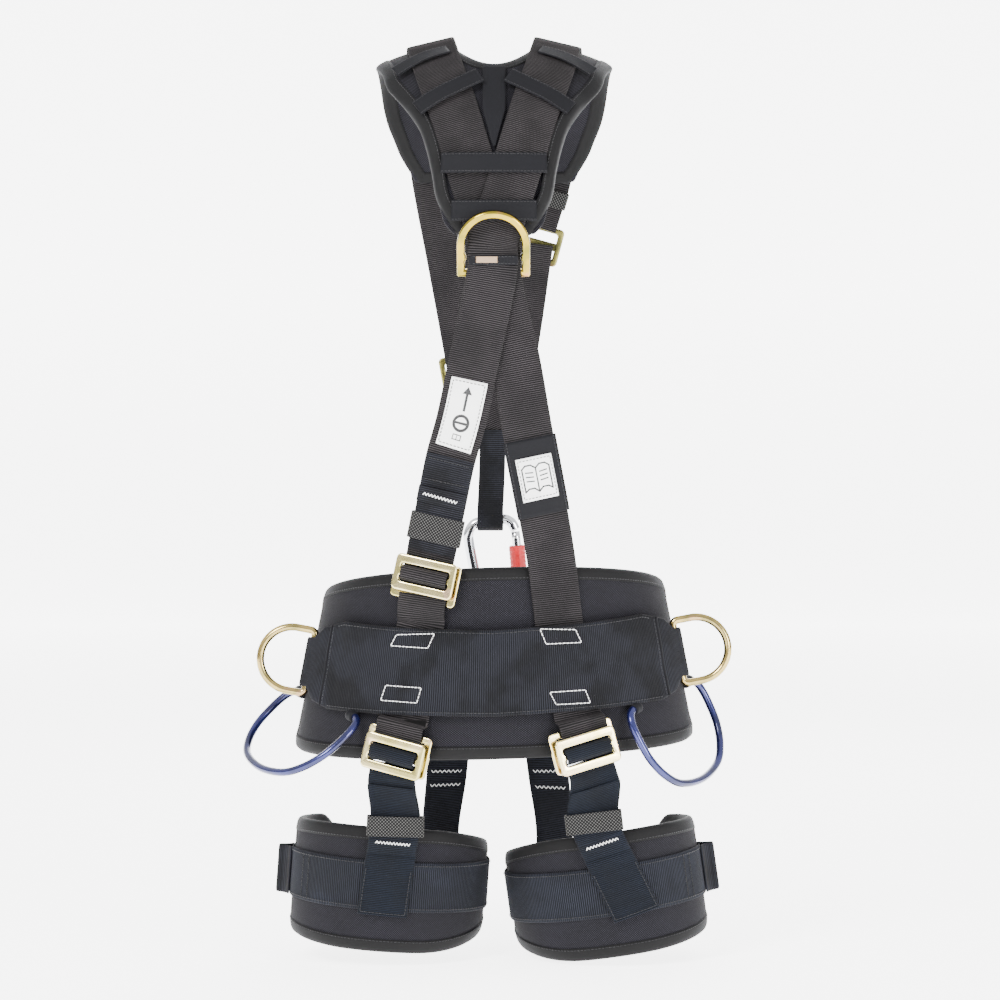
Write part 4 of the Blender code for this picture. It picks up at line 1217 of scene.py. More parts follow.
def dorsal_keeper():
    matrix = frame_on(RIGHT_STRAP, 357, 3.0)
    level = local_frame(matrix.translation, matrix.col[2].to_3d(), Vector((0, 0, 1)))
    level.translation.x = DORSAL_PLACE[0]
    plate("dorsal_bar", [rounded_outline(44, 8.5, 2.5)], 1.9, 0.7, level, "smooth_band",
          nodes=["dorsal_keeper"])
    patch = [(level @ Vector((x, 0.4, 1.25)), level.col[2].to_3d()) for x in (-15.5, -6, 3.5)]
    web("dorsal_tag", patch, 5.6, 0.5, "tan", rib=0)
    for y in (-3.1, 3.1):
        row = [level @ Vector((x, y, 1.0)) for x in range(-19, 20, 2)]
        seam(row, "black_thread", radius=0.28, length=2.2, gap=0.9)


# ---------------------------------------------------------------- buckles and sleeves
PLATE_SIZE = (58.0, 33.0)
ADJUSTER_SIZE = (58.0, 37.0)
ADJUSTER_HOLE = (47.0, 26.0)
PLATE_SLOT = (46.0, 16.0)
PLATE_BAR = 5.0
PLATE_THICK = 4.0
PLATE_LAYER = 13.2
FRAME_SIZE = (62.0, 38.0)
FRAME_HOLE = (49.5, 26.0)
FRAME_LAYER = 4.8
FRAME_SHIFT = 4.0


def buckle_plate(name, matrix, body_name, web_finish="tail"):
    """Front plate, with the webbing that turns over its centre bar."""
    slot_height = (PLATE_SLOT[1] - PLATE_BAR) / 2
    offset = (PLATE_BAR + slot_height) / 2
    slot = rounded_outline(PLATE_SLOT[0], slot_height, 1.9)
    slots = [[(x, y + up) for x, y in slot] for up in (-offset, offset)]
    plate(name + "_metal", [rounded_outline(*PLATE_SIZE, 4.5), *slots], PLATE_THICK, 1.6, matrix,
          "pale_steel", body_name, [name])
    turn = [(-6.6, -4.0), (-6.4, -1.0), (-5.6, 1.6), (-4.0, 3.3), (-2.0, 4.0), (0, 4.2), (2.0, 4.0),
            (4.0, 3.3), (5.6, 1.6), (6.4, -1.0), (6.6, -4.0)]
    stations = []
    for k, (y, z) in enumerate(turn):
        before, after = turn[max(k - 1, 0)], turn[min(k + 1, len(turn) - 1)]
        normal = Vector((0, before[1] - after[1], after[0] - before[0]))
        stations.append((matrix @ Vector((0, y, z)), (matrix.to_3x3() @ normal).normalized()))
    web(name + "_turn", stations, PLATE_SLOT[0] - 1.8, 1.7, web_finish, body_name, rib=0.14, pitch=1.6)


def buckle_frame(name, matrix, ears):
    edge = rounded_outline(*FRAME_SIZE, 4.0)
    hole = rounded_outline(*FRAME_HOLE, 2.0)
    plate(name + "_metal", [edge, hole], PLATE_THICK, 1.2, moved(matrix, up=ears * FRAME_SHIFT),
          "pale_steel", nodes=[name])


def strap_sleeve(name, matrix, width, height, wall, length, finish, body_name, node):
    """A flat sleeve round a strap, running along the matrix's Y."""
    edge = rounded_outline(width + 2 * wall, height + 2 * wall, min(3.0, height / 2))
    hole = rounded_outline(width, height, min(2.0, height / 2 - 0.2))
    turned = matrix @ Matrix.Rotation(math.radians(-90), 4, "X")
    plate(name, [edge, hole], length, wall * 0.4, turned, finish, body_name, [node])


# ---------------------------------------------------------------- labels
def label_point(stations, z_low, z_high, lift):
    """Place on a label from its share across, in millimetres, and its share up."""
    rows = part_of(stations, z_low, z_high, lift, 9)

    def at(across, up, raise_by=0.0):
        k = up * (len(rows) - 1)
        i = min(len(rows) - 2, max(0, int(k)))
        point = rows[i][0].lerp(rows[i + 1][0], k - i)
        normal = rows[i][1].lerp(rows[i + 1][1], k - i).normalized()
        tangent = (rows[i + 1][0] - rows[i][0]).normalized()
        side = tangent.cross(normal).normalized()
        side = side if side.x > 0 else -side
        return point + side * across + normal * raise_by, normal

    return at


def printed(name, at, outline):
    """A printed mark on a label, from points of (across, share up)."""
    verts = [at(x, y, 0.55)[0] for x, y in outline]
    base = [at(x, y, 0.3)[0] for x, y in outline]
    size = len(outline)
    faces = [tuple(range(size)), tuple(range(size, 2 * size))]
    faces += [(k, (k + 1) % size, size + (k + 1) % size, size + k) for k in range(size)]
    mesh_piece(name, verts + base, faces, [(x, y * 60) for x, y in outline] * 2, "print", flat=True)


def stroke(name, at, line, width, height):
    """A printed line of constant width through (across, share up) points on a label height tall."""
    verts, faces, uvs = [], [], []
    for (x0, y0), (x1, y1) in zip(line, line[1:]):
        dx, dy = x1 - x0, (y1 - y0) * height
        size = math.hypot(dx, dy)
        nx, ny = -dy / size * width / 2, dx / size * width / 2
        ex, ey = dx / size * width * 0.45, dy / size * width * 0.45
        corners = [(x0 - ex + nx, y0 + (ny - ey) / height), (x1 + ex + nx, y1 + (ny + ey) / height),
                   (x1 + ex - nx, y1 - (ny - ey) / height), (x0 - ex - nx, y0 - (ny + ey) / height)]
        base = len(verts)
        for raise_by in (0.3, 0.55):
            verts += [at(x, y, raise_by)[0] for x, y in corners]
            uvs += [(x, y * height) for x, y in corners]
        faces += [(base + 4, base + 5, base + 6, base + 7), (base, base + 3, base + 2, base + 1)]
        faces += [(base + k, base + (k + 1) % 4, base + 4 + (k + 1) % 4, base + 4 + k) for k in range(4)]
    mesh_piece(name, verts, faces, uvs, "print", flat=True)


def sewn_border(at, x, low, high, radius, length, gap):
    edge = [(-x, low), (-x, 0.5), (-x, high), (0, high), (x, high), (x, 0.5), (x, low), (0, low), (-x, low)]
    seam([at(*place, 0.5)[0] for place in edge], "black_thread", radius=radius, length=length, gap=gap)


def arrow_label():
    place = (RIGHT_STRAP, 190, 251, 1.8)
    web("arrow_label_cloth", part_of(*place), 33, 0.8, "label", nodes=["arrow_label"], rib=0)
    at = label_point(*place)
    sewn_border(at, 14.5, 0.04, 0.96, 0.42, 2.3, 1.1)
    stroke("arrow_stem", at, [(0.5, 0.56), (0.5, 0.66), (0.5, 0.80)], 2.3, 61)
    printed("arrow_head", at, [(-3.8, 0.79), (4.8, 0.79), (0.5, 0.90)])
    ring = [math.radians(15 * k) for k in range(25)]
    marks = {
        "anchor_mark": ([(0.5 + 6.4 * math.cos(a), 0.37 + 0.105 * math.sin(a)) for a in ring], 2.4),
        "anchor_bar": ([(-5.4, 0.37), (0.5, 0.37), (6.4, 0.37)], 2.2),
        "small_box": ([(-3.6, 0.13), (3.6, 0.13), (3.6, 0.20), (-3.6, 0.20), (-3.6, 0.125)], 0.8),
        "small_line": ([(0, 0.135), (0, 0.195)], 0.8),
    }
    for name, (line, width) in marks.items():
        stroke(name, at, line, width, 61)


def info_label():
    sleeve = (LEFT_STRAP, 131, 199, 2.4)
    page = (LEFT_STRAP, 145, 183, 4.0)
    web("label_wrap", part_of(*sleeve), 48, 1.6, "smooth_band", nodes=["label_sleeve"], rib=0)
    web("book_label_cloth", part_of(*page), 33, 0.8, "label", nodes=["info_label"], rib=0)
    at = label_point(*page)
    sewn_border(at, 15, 0.06, 0.94, 0.38, 2.2, 1.0)
    for name, sign in (("left", -1), ("right", 1)):
        leaf = [(0, 0.74), (4, 0.82), (9, 0.82), (12.5, 0.75), (12.5, 0.22), (9, 0.28), (4, 0.28), (0, 0.19)]
        stroke("book_page_" + name, at, [(sign * x, y) for x, y in leaf], 1.3, 38)
        for k, y in enumerate((0.64, 0.54, 0.44)):
            stroke(f"book_line_{name}_{k}", at, [(sign * 3.2, y), (sign * 9.6, y + 0.02)], 1.1, 38)
    stroke("book_spine", at, [(0, 0.19), (0, 0.74)], 1.2, 38)
    wrap = label_point(*sleeve)
    for x in (-21.5, 21.5):
        seam([wrap(x, k / 12, 0.9)[0] for k in range(13)], "black_thread", radius=0.3, length=2.4, gap=0.9)


# ---------------------------------------------------------------- back strap pieces
def back_pieces():
    arrow_label()
    info_label()
    tail = (RIGHT_STRAP, 97, 182, 2.6)
    web("back_tail", part_of(*tail), 44, WEB_THICK, "blue_webbing", nodes=["back_strap_tail"])
    at = label_point(*tail)
    fold = [at(0, y, 1.9) for y in (0.50, 0.55, 0.60, 0.66)]
    web("back_tail_fold", fold, 44.5, 1.7, "blue_webbing", rib=0.12, pitch=1.6)
    a, normal = at(-17, 0.585, 2.95)
    b, _ = at(15, 0.565, 2.95)
    bar_tack(a, b, normal, 2.6)
    for y in (0.74, 0.95):
        seam([at(x, y, 1.05)[0] for x in range(-19, 20, 2)], "black_thread", radius=0.36)
    keeper = frame_on(RIGHT_STRAP, 118, 1.3)
    strap_sleeve("back_elastic", keeper, 46.6, 6.4, 1.3, 24, "elastic", "back_keeper_body", "back_keeper")
    matrix = frame_on(RIGHT_STRAP, 75)
    point, normal = part_of(RIGHT_STRAP, 75, 76, 0, 2)[0]
    base = local_frame(point - normal * 8.3, normal, matrix.col[1].to_3d())
    buckle_plate("back_buckle_plate", moved(base, out=PLATE_LAYER), "back_buckle", "webbing")
    buckle_frame("back_buckle_frame", moved(base, out=FRAME_LAYER), -1)


# ---------------------------------------------------------------- belt
RING_ARC_RADIUS = 129.0
BELT_PAD_THICK = 11.0
PAD_END = 98.0
RING_PLACE = 72.0
RING_BAR = 3.5
RING_HALF_HEIGHT = 29.3
RING_STRAIGHT = 17.0
RING_CORNER = 5.0
RING_STANDOFF = 6.6
ARC_PER_DEGREE = 2.5
BAND_TOP = [(0, 27), (30, 31), (52, 36), (63, 30), (68, 20.3)]
BAND_BOTTOM = [(0, -50), (30, -47), (55, -43), (63, -36), (68, -24.3)]


def pad_edges(angle):
    """The belt pad's lower and upper edge at an angle, with its corners rounded off."""
    share = abs(angle) / PAD_END
    corner = 16 * max(0.0, (share - 0.93) / 0.07) ** 2
    return -87 + 10 * share ** 2 + corner, 83 - 21 * share ** 2 - corner


def belt_cloth(arc, z, out):
    return belt(arc / ARC_PER_DEGREE, z, out)


def belt_pad():
    def flat(u, w):
        angle = blend(-PAD_END, PAD_END, u)
        return angle * ARC_PER_DEGREE, blend(*pad_edges(angle), w)

    steps = 26
    end = PAD_END * ARC_PER_DEGREE
    outline = [flat(k / steps, 0) for k in range(steps + 1)] + [(end, z) for z in (-36, -8, 20)]
    outline += [flat(1 - k / steps, 1) for k in range(steps + 1)] + [(-end, z) for z in (20, -8, -36)]

    def covered(a, b):
        angle = abs(a) / ARC_PER_DEGREE
        banded = b > table(BAND_BOTTOM, angle) - 3 and b < table(BAND_TOP, angle) + 3
        strapped = 12 < angle < 34
        return 1.0 if strapped or (banded and angle < 88) else 0.0

    low = -1 - BELT_PAD_THICK
    pad_piece("belt_cushion", flat, belt_cloth, outline, 74, 26, low, -1, ["belt_pad"], covered=covered)
    binding("belt_edging", outline, belt_cloth, low, -1)


def wrinkle(angle, z):
    """Slight waves in the wide band, away from where it is stitched down."""
    where = Vector((angle * 0.07, z * 0.03, 3.7))
    small = Vector((angle * 0.22, z * 0.05, 9.1))
    free = smoothstep(4, 12, abs(z - 16)) * smoothstep(3, 10, abs(z + 33))
    return (noise.noise(where) * 2.3 + noise.noise(small) * 0.9 + 0.35) * (0.3 + 0.7 * free)


def belt_band():
    """Wide band over the pad, each end folded round a side ring's bar."""
    half = [(0, 7), (8, 7), (16, 7), (24, 7), (32, 7), (40, 7), (48, 7), (56, 7.2), (63, 9.4)]
    fold = [(-7.0, 4.6), (-3.6, 5.3), (0, 5.4), (2.6, 4.9), (4.5, 3.0), (5.4, 0), (4.5, -3.0),
            (2.6, -4.9), (0, -5.4)]
    path = half + [
        (RING_PLACE + math.degrees(dx / RING_ARC_RADIUS), RING_STANDOFF + dy)
        for dx, dy in fold
    ]
    path += [(RING_PLACE - 4.5, 1.2), (RING_PLACE - 8, 1.0)]
    full = [(-a, out) for a, out in reversed(path[1:])] + path
    dense = smooth(full, 8)
    lengths = running([belt(angle, 0, out) for angle, out in dense])

    def place(u, w):
        i, t = locate(lengths, u * lengths[-1])
        angle, out = (blend(a, b, t) for a, b in zip(dense[i], dense[i + 1]))
        reach = max(abs(angle), 68) if out < 5 else abs(angle)
        z = blend(table(BAND_BOTTOM, reach), table(BAND_TOP, reach), w)
        calm = 1 - smoothstep(54, 64, abs(angle))
        return belt(angle, z, out + max(-0.9, wrinkle(angle, z) * calm))

    cloth_panel("wide_band", place, lengths[-1], 76, WEB_THICK, "blue_webbing", nodes=["belt_band"])


def on_band(angle, z, raise_by=0.0):
    return belt(angle, z, 7 + WEB_THICK / 2 + 0.35 + wrinkle(angle, z) + raise_by)


def angle_at(x, z):
    wide = BELT_HALF_WIDTH - BELT_WIDTH_TAPER * z + 8
    return math.degrees(math.asin(max(-1, min(1, x / wide))))


def band_details():
    """Stitched boxes where the straps pass under, the end seams and the edge stitching."""
    boxes = [
        [(-89, 22), (-54, 23.5), (-60, 10.5), (-94, 12)],
        [(-98, -23.5), (-66, -25), (-70, -38.5), (-103, -37)],
        [(41.5, 28), (73.5, 27), (79, 15.5), (47, 14.5)],
        [(50.5, -28.5), (82.5, -27), (87, -38.5), (56, -39.5)],
    ]
    for corners in boxes:
        for (x0, z0), (x1, z1) in zip(corners, corners[1:] + corners[:1]):
            steps = max(3, round(math.dist((x0, z0), (x1, z1)) / 3))
            line = []
            for k in range(steps + 1):
                x, z = blend(x0, x1, k / steps), blend(z0, z1, k / steps)
                line.append(on_band(angle_at(x, z), z - BELT_ROLL * x))
            seam(line, radius=0.42, length=2.9, gap=0.6)

    def across_band(angle, inset, steps, raise_by=0.0):
        low, high = table(BAND_BOTTOM, abs(angle)) + inset, table(BAND_TOP, abs(angle)) - inset
        return [on_band(angle, blend(low, high, k / steps), raise_by) for k in range(steps + 1)]

    for side, sign in (("left", -1), ("right", 1)):
        for angle in (57.5, 60.0):
            seam(across_band(sign * angle, 2, 16), "black_thread")
        tube("band_end_fold_" + side, across_band(sign * 58.7, 0.8, 14, 0.1), 1.25, "smooth_band", flat=0.8)
    for edge, inset in ((BAND_TOP, -3.0), (BAND_BOTTOM, 3.0)):
        line = [on_band(angle, table(edge, abs(angle)) + inset) for angle in range(-55, 56, 1)]
        seam(line, "black_thread", radius=0.34)


def side_ring(side, sign):
    centre = belt(sign * RING_PLACE, -2, RING_STANDOFF)
    top = belt(sign * RING_PLACE, 23, RING_STANDOFF)
    up = (top - centre).normalized()
    outward = Vector((sign, 0, 0))
    outward = (outward - up * outward.dot(up)).normalized()
    corner, high, straight = RING_CORNER, RING_HALF_HEIGHT, RING_STRAIGHT
    points = []
    for k in range(7):
        turn = math.radians(180 + 15 * k)
        points.append((corner + corner * math.cos(turn), corner - high + corner * math.sin(turn)))
    points += [(9.0, -high), (13.0, -high)]
    for k in range(37):
        turn = math.radians(-90 + 5 * k)
        points.append((straight + high * math.cos(turn), high * math.sin(turn)))
    points += [(13.0, high), (9.0, high)]
    for k in range(7):
        turn = math.radians(90 + 15 * k)
        points.append((corner + corner * math.cos(turn), high - corner + corner * math.sin(turn)))
    points += [(0, z) for z in (18, 12, 6, 0, -6, -12, -18)]
    placed = [centre + outward * r + up * h for r, h in points]
    tube("side_ring_bar_" + side, placed, RING_BAR, "side_steel", "side_ring_" + side,
         ["side_d_ring_" + side], True, 18)


GEAR_BAR = 3.6
GEAR_DEPTH = 85.0
GEAR_BULGE = 8.0
GEAR_STUB = 9.0
GEAR_REAR = (41.0, -50.5, 7.6)
GEAR_FRONT = (88.0, -29.5, 7.6)
GEAR_HANG = {"left": 0.0, "right": 24.0}


def gear_ring(side, sign):
    rear = belt(sign * GEAR_REAR[0], GEAR_REAR[1], GEAR_REAR[2])
    fore = belt(sign * GEAR_FRONT[0], GEAR_FRONT[1], GEAR_FRONT[2])
    chord = (fore - rear).normalized()
    span = (fore - rear).length
    level = Vector((sign, 0, -0.69))
    outward = (level - chord * level.dot(chord)).normalized()
    outward = Matrix.Rotation(math.radians(sign * GEAR_HANG[side]), 3, chord) @ outward
    half = [
        (GEAR_STUB, 0), (3, 0.6), (-3, 4), (-GEAR_BULGE + 1, 12), (-GEAR_BULGE, 26), (-5, 47),
        (6, 66), (25, 79.5),
    ]
    points = half + [(span / 2, GEAR_DEPTH)] + [(span - p, q) for p, q in reversed(half)]
    placed = [rear + chord * p + outward * q for p, q in smooth(points, 7)]
    tube("gear_ring_bar_" + side, placed, GEAR_BAR, "blue_alloy", f"gear_ring_{side}_body",
         ["gear_ring_" + side], sides=18)
    for name, corner, way in (("rear", rear, 1), ("front", fore, -1)):
        start = corner + chord * (way * 5.0)
        end = corner + chord * (way * 14.0)
        loop = [start + (end - start) * (k / 4) for k in range(5)]
        tube(f"gear_loop_{side}_{name}", loop, GEAR_BAR + 1.7, "smooth_band", cap=0.15, sides=16)


BELT_BUCKLE_PLACE = 148.0


def belt_front():
    """Front webbing and its buckle, on the wearer's right."""
    def run(name, start, end, node):
        length = math.radians(abs(end - start)) * 150

        def place(u, w):
            return belt(blend(start, end, u), -2 + (w - 0.5) * WEB_WIDTH, 1.9)

        cloth_panel(name, place, length, WEB_WIDTH, WEB_THICK, "webbing", nodes=[node])

    place = BELT_BUCKLE_PLACE
    run("belt_web_left", -79.5, place - 360 + 7.0, "belt_strap_left")
    run("belt_web_right", 79.5, place - 8.5, "belt_strap_right")
    normal = belt_normal(place, -2)
    along = belt(place - 3, -2, 0) - belt(place + 3, -2, 0)
    base = local_frame(belt(place, -2, 0), normal, along)
    turned = moved(base, out=PLATE_LAYER) @ Matrix.Rotation(math.pi, 4, "Z")
    buckle_plate("belt_buckle_plate", turned, "belt_buckle", "webbing")
    buckle_frame("belt_buckle_frame", moved(base, out=FRAME_LAYER), 1)


# ---------------------------------------------------------------- chest and front loops
def adjuster(side, base, lift):
    outlines = [rounded_outline(*ADJUSTER_SIZE, 4.5), rounded_outline(*ADJUSTER_HOLE, 3.0)]
    plate(f"adjuster_frame_{side}", outlines, PLATE_THICK, 1.6, moved(base, out=lift),
          "olive_steel", nodes=["chest_adjuster_" + side])
    bar = moved(base, out=lift + 4.0)
    plate(f"adjuster_cross_bar_{side}", [rounded_outline(54, 7.5, 2.6)], 3.0, 1.2, bar, "olive_steel",
          f"adjuster_bar_{side}_body", ["adjuster_bar_" + side])


def front_straps():
    left = torso_stations([
        (-21, front(262), 2.4), (-14, front(240), 2.0), (-6, front(220), 1.2), (0, front(206), 1.2),
        (2, front(196), 1.2),
    ])
    right = torso_stations([
        (34, front(392), 5.0), (31, front(370), 5.0), (24, front(320), 5.0), (15, front(265), 5.0),
        (8, front(230), 5.0), (0, front(206), 4.4), (-3, front(196), 4.4),
    ])
    web("chest_web_left", left, WEB_WIDTH, WEB_THICK, "webbing", nodes=["chest_strap_left"])
    web("chest_web_right", right, WEB_WIDTH, WEB_THICK, "webbing", nodes=["chest_strap_right"])
    for side, x, z, toward in (("left", -22.5, 268, (-33, 325)), ("right", 35, 393, (50, 450))):
        point = torso(x, front(z), 0)
        up = torso(toward[0], front(toward[1]), 0) - point
        adjuster(side, local_frame(point, body_normal(x, front(z)), up), 9.6 if side == "left" else 12.0)
    for z in (209, 200):
        points = [torso(x, front(z), 5.9) for x in range(-15, 17, 2)]
        bar_tack(points[0], points[-1], body_normal(0, front(z)), 2.4, pitch=1.8)
    x, s = 45, front(437)
    up = torso(51, front(455), 10) - torso(37, front(408), 10)
    base = local_frame(torso(x, s, 10), body_normal(x, s), up)
    strap_sleeve("chest_elastic", base, 48.0, 6.4, 1.2, 16, "elastic", "chest_keeper_body", "chest_keeper")
    tacks = [moved(base, across, 11.5, 1.5).translation for across in (-17, 17)]
    bar_tack(tacks[0], tacks[1], base.col[2].to_3d(), 2.2)


def loop_web(name, rows, width, node):
    """Narrow webbing whose middle line goes through rows of (x, y, z), level across X."""
    line = [Vector(point) for point in smooth(rows, 8)]
    lengths = running(line)

    def place(u, w):
        i, t = locate(lengths, u * lengths[-1])
        return line[i].lerp(line[i + 1], t) + Vector(((w - 0.5) * width, 0, 0))

    cloth_panel(name, place, lengths[-1], width, WEB_THICK, "blue_webbing", nodes=[node], rib=0.12,
                pitch=1.6)


CARABINER_TOP = Vector((-4.0, 115.5, 124.5))
CARABINER_FOOT = Vector((10.0, 125.0, 27.5))
CARABINER_BAR = 5.0
GATE_BAR = 4.3
SLEEVE_RADIUS = 8.0
SLEEVE_BORE = 5.0


def textile_loops():
    loop_web("chest_loop_web", [
        (-2, 121.3, 212), (-2, 121.5, 185), (-3, 123, 155), (-4, 125, 135),
        (-4, 124.8, 124.5), (-4, 122, 118), (-4, 115.5, 115.2), (-4, 109, 118), (-4, 106.2, 124.5),
        (-4, 106.2, 135), (-3, 108.5, 155), (-2, 110.4, 185), (-2, 110.4, 212),
    ], LOOP_WIDTH, "chest_loop")
    foot = CARABINER_FOOT
    loop_web("waist_loop_web", [
        (foot.x, 130.4, -22), (foot.x, 130.2, 0), (foot.x, 132, 12), (foot.x, 134.6, 20),
        (foot.x, 134.8, 30), (foot.x, 132, 37.5), (foot.x, 125, 40.5), (foot.x, 118, 37.5),
        (foot.x, 115.2, 30), (foot.x, 115.4, 20), (foot.x, 119, 8), (foot.x, 121.6, -4),
        (foot.x, 122.8, -22),
    ], LOOP_WIDTH - 6, "ventral_loop")


def carabiner():
    down = CARABINER_FOOT - CARABINER_TOP
    length = down.length
    down.normalize()
    across = Vector((1, 0, 0))
    across = (across - down * across.dot(down)).normalized()

    def at(u, w):
        return CARABINER_TOP + across * u + down * w

    hinge = at(18.8, length - 17)
    body_path = [
        (18.7, length - 14.5), (16.5, length - 7), (10, length - 1.6), (1, length), (-9, length - 2.4),
        (-16.5, length - 9), (-19.6, length - 20), (-21.6, length * 0.55), (-23.4, 20), (-22.3, 9),
        (-16.5, 1.8), (-8, 0), (6, 0), (15, 1.2), (20.5, 6), (22.6, 12.5),
    ]
    points = [at(u, w) for u, w in smooth(body_path, 6)]
    tube("carabiner_bow", points, CARABINER_BAR, "bright_steel", "carabiner", ["carabiner_body"], sides=20,
         cap=0.05)
    gate_top = at(22.6, 14.2)
    start = at(18.9, length - 17.5)
    gate = [start + (gate_top - start) * (k / 10) for k in range(11)]
    tube("carabiner_gate_bar", gate, GATE_BAR, "bright_steel", "gate", ["carabiner_gate"], sides=20, cap=0.05)
    axis = (hinge - gate_top).normalized()
    top = gate_top + axis * 14
    rings = 33
    profile = []
    for k in range(rings):
        ridge = 0.35 * max(0.0, math.cos(2 * math.pi * k / 4)) if 4 <= k <= rings - 5 else 0.0
        rim = 0.8 if k in (0, rings - 1) else 0.0
        profile.append((SLEEVE_RADIUS - 0.35 + ridge - rim, k))
    profile += [(SLEEVE_BORE, rings - 1), (SLEEVE_BORE, 0)]
    side = (across - axis * across.dot(axis)).normalized()
    beside = axis.cross(side)
    sections = []
    turns = 48
    for k in range(turns):
        a = 2 * math.pi * k / turns
        groove = 0.3 * max(0.0, math.cos(12 * a)) ** 2
        ray = side * math.cos(a) + beside * math.sin(a)
        sections.append([
            top + axis * h + ray * (r - groove if 5 <= h <= rings - 6 and r > 6 else r) for r, h in profile
        ])
    mesh_piece("carabiner_lock_sleeve", *loft(sections, True), None, "red_plastic", "gate_sleeve",
               ["carabiner_sleeve"])


# ---------------------------------------------------------------- leg loops
LEG_PAD_THICK = 9.0
LEG_PAD_END = 138.0
LEG_ARC = math.radians(1) * 88
RISER_ROWS = {
    "left": [(-86.5, -93), (-88.5, -108), (-91, -130), (-92.3, -148), (-94, -168), (-97, -200), (-99, -229)],
    "right": [(82, -89), (86, -103), (92.5, -125), (98, -144), (104, -165), (115, -197), (126, -229)],
}
RISER_OUT = [(-229, 4.8), (-172, 4.8), (-150, 7.0), (-106, 10.8), (-90, 8.9)]


def riser_point(side, middle, z, offset, lift):
    """A point on a rear leg riser, offset across from its middle: flat above, wrapped on the leg below."""
    out = table(RISER_OUT, z) + lift
    data = LEGS[side]
    wrapped = smoothstep(160, 178, -z)

    def on_leg(x):
        share = (x - data["centre"].x) / (LEG_RADII[0] + out)
        angle = math.degrees(math.asin(max(-0.99, min(0.99, share)))) * data["sign"]
        height = z - data["centre"].z + share * math.radians(data["tilt"]) * LEG_RADII[0]
        return leg(side, angle, height, out)

    flat = on_leg(middle) + (on_leg(middle + 1) - on_leg(middle - 1)).normalized() * offset
    below = flat.lerp(on_leg(middle + offset), wrapped)
    across = (body(middle + 1, back(z)) - body(middle - 1, back(z))).normalized()
    above = torso(middle, back(z), out) + across * offset
    return above.lerp(below, smoothstep(104, 152, -z))


def riser_place(side, start, end, width, lift):
    """place(u, w) for a piece along a rear riser between two heights."""
    by_height = sorted((z, x) for x, z in smooth(RISER_ROWS[side], 6))
    slope = (table(by_height, end) - table(by_height, start)) / (end - start)
    across = Vector((1, -slope)).normalized()

    def place(u, w):
        offset_x, offset_z = across * (w - 0.5) * width
        z = blend(start, end, u)
        return riser_point(side, table(by_height, z), z + offset_z, offset_x, lift)

    return place


def riser_seam(place, u0, u1, w0, w1, **looks):
    steps = 14
    seam([place(blend(u0, u1, k / steps), blend(w0, w1, k / steps)) for k in range(steps + 1)], **looks)


def leg_pad(side):
    def limits(angle):
        inner = smoothstep(20, 120, -angle)
        outer = smoothstep(20, 120, angle)
        end = 14 * max(0.0, (abs(angle) - LEG_PAD_END + 14) / 14) ** 2
        return -56 + 20 * inner + 8 * outer + end, 54 - 16 * inner - 4 * outer - end

    def surface(arc, height, out):
        return leg(side, arc / LEG_ARC, height, out)

    def flat(u, w):
        angle = blend(-LEG_PAD_END, LEG_PAD_END, u)
        return angle * LEG_ARC, blend(*limits(angle), w)

    steps = 30
    rim = LEG_PAD_END * LEG_ARC
    outline = [flat(k / steps, 0) for k in range(steps + 1)] + [(rim, z) for z in (-16, 4, 24)]
    outline += [flat(1 - k / steps, 1) for k in range(steps + 1)] + [(-rim, z) for z in (24, 4, -16)]

    def covered(a, b):
        return max(1 - smoothstep(24, 31, abs(b - 3)), 1 - smoothstep(40, 50, abs(a)))

    pad_piece("leg_cushion_" + side, flat, surface, outline, 64, 14, -LEG_PAD_THICK, 0,
              ["leg_pad_" + side], covered=covered)
    binding("leg_edging_" + side, outline, surface, -LEG_PAD_THICK, 0, 0.35)


def leg_webs(side):
    def band_place(u, w):
        return leg(side, 360 * u, 3 + (w - 0.5) * WEB_WIDTH, 1.6)

    around = math.pi * (sum(LEG_RADII) + 3.2)
    cloth_panel("leg_web_" + side, band_place, around, WEB_WIDTH, WEB_THICK, "cool_webbing",
                nodes=["leg_band_" + side], closed=True)
    for height in (-16.5, 22.5):
        seam([leg(side, a, height, 3.0) for a in range(-136, 137, 2)], "black_thread", radius=0.32)
    for angle in (52, 58):
        seam([leg(side, angle, h, 3.05) for h in range(-18, 26, 2)], "black_thread", radius=0.34)
    tab = [(80, 4.0), (84, 5.0), (87.5, 9), (89, 13), (90.5, 14.2), (92, 13), (93.5, 9), (97, 5.0),
           (101, 4.0)]
    length = running([leg(side, angle, 3, out) for angle, out in smooth(tab, 3)])[-1]
    dense = smooth(tab, 8)

    def tab_place(u, w):
        k = u * (len(dense) - 1)
        i = min(len(dense) - 2, int(k))
        angle, out = (blend(p, q, k - i) for p, q in zip(dense[i], dense[i + 1]))
        return leg(side, angle, 3 + (w - 0.5) * (WEB_WIDTH - 1), out)

    cloth_panel("side_tab_" + side, tab_place, length, WEB_WIDTH - 1, WEB_THICK, "blue_webbing",
                nodes=["leg_tab_" + side], rib=0.12, pitch=1.6)


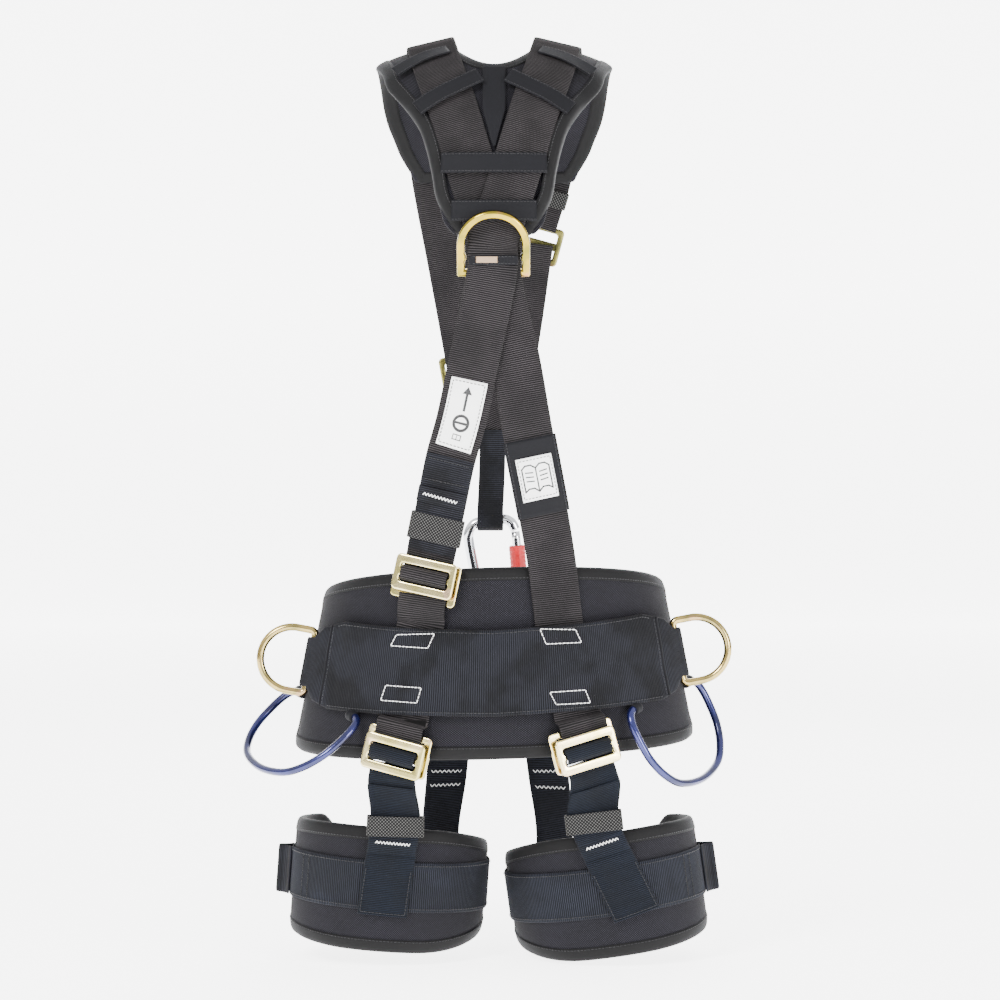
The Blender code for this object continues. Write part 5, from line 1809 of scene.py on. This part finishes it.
def leg_risers(side):
    top = -92 if side == "left" else -88
    riser = riser_place(side, top, -229, WEB_WIDTH, 0)
    cloth_panel("riser_" + side, riser, 141, WEB_WIDTH, WEB_THICK, "tail", nodes=["leg_riser_" + side])
    tail = riser_place(side, -112, -160, WEB_WIDTH - 1, 2.8)
    cloth_panel("riser_tail_" + side, tail, 50, WEB_WIDTH - 1, WEB_THICK, "tail",
                nodes=["leg_tail_" + side], rib=0.12, pitch=1.6)
    fold = riser_place(side, -158, -174, WEB_WIDTH - 1.5, 2.9)
    cloth_panel("riser_tail_end_" + side, fold, 16, WEB_WIDTH - 1.5, 1.8, "tail", rib=0.12, pitch=1.6)
    face = riser_place(side, -158, -174, WEB_WIDTH - 1.5, 4.1)
    bar_tack(face(0.35, 0.14), face(0.35, 0.86), (face(0.35, 0.5) - fold(0.35, 0.5)).normalized(), 2.4)
    patch = riser_place(side, top, -229, WEB_WIDTH, 1.25)
    for u0, u1, w0, w1 in ((0.70, 0.985, 0.05, 0.05), (0.70, 0.985, 0.95, 0.95), (0.985, 0.985, 0.05, 0.95)):
        riser_seam(patch, u0, u1, w0, w1, finish="black_thread", radius=0.34)
    x, z = RISER_ROWS[side][3]
    point = riser_point(side, x, z, 0, 1.6)
    high = riser_point(side, x, z + 6, 0, 1.6)
    wide = riser_point(side, x, z, 6, 1.6)
    lean = Vector(RISER_ROWS[side][2]) - Vector(RISER_ROWS[side][4])
    up = (high - point) * lean.y + (wide - point) * lean.x
    keeper = local_frame(point, (wide - point).cross(high - point), up)
    strap_sleeve("leg_elastic_" + side, keeper, 48.8, 10.6, 1.3, 18, "elastic", f"leg_keeper_{side}_body",
                 "leg_keeper_" + side)
    x, z = (-86, -85.5) if side == "left" else (80, -81)
    upper = LOWER_STRAP if side == "left" else LEFT_STRAP
    matrix = local_frame(torso(x, back(z), 0), body_normal(x, back(z)), upper[-5][0] - upper[-1][0])
    buckle_plate("leg_buckle_plate_" + side, moved(matrix, out=PLATE_LAYER), "leg_buckle_" + side)
    buckle_frame("leg_buckle_frame_" + side, moved(matrix, out=FRAME_LAYER), 1)


def front_riser(side, sign):
    top, middle, low = (-41, -46, -51) if side == "left" else (45, 52, 57)
    route = [
        ((top, 131.8, 14), (0, 1, 0)), ((top, 132.5, -20), (0, 1, 0)), ((top + sign, 128, -60), (0, 1, 0)),
        ((middle, 97, -120), (-0.2 * sign, 0.95, 0)), ((low, 66, -165), (-0.4 * sign, 0.9, 0)),
        ((low, 54.5, -195), (-0.5 * sign, 0.87, 0)), ((low, 54, -225), (-0.5 * sign, 0.87, 0)),
    ]
    stations = [(Vector(p), Vector(n).normalized()) for p, n in route]
    web("front_riser_web_" + side, stations, 40, WEB_THICK, "cool_webbing", nodes=["front_riser_" + side],
        per_span=12)
    points, normals, _ = resample(stations, 12, 3.0)
    sides = route_sides(points, normals)
    for z in (-118, -132):
        i = min(range(len(points)), key=lambda k: abs(points[k].z - z))
        normal = sides[i].cross((points[i + 1] - points[i - 1]).normalized()).normalized()
        for face in (-1, 1):
            middle_point = points[i] + normal * (face * 1.3)
            bar_tack(middle_point - sides[i] * 15, middle_point + sides[i] * 15, normal, 3.0, pitch=2.2)


def main():
    camera()
    studio()
    shoulder_straps()
    yoke()
    yoke_bands()
    dorsal_ring()
    dorsal_keeper()
    back_pieces()
    belt_pad()
    belt_band()
    band_details()
    for side, sign in (("left", -1), ("right", 1)):
        side_ring(side, sign)
        gear_ring(side, sign)
    belt_front()
    front_straps()
    textile_loops()
    carabiner()
    for side, sign in (("left", -1), ("right", 1)):
        leg_pad(side)
        leg_webs(side)
        leg_risers(side)
        front_riser(side, sign)
    make_stitches()
    puff_pads(2.2)


main()
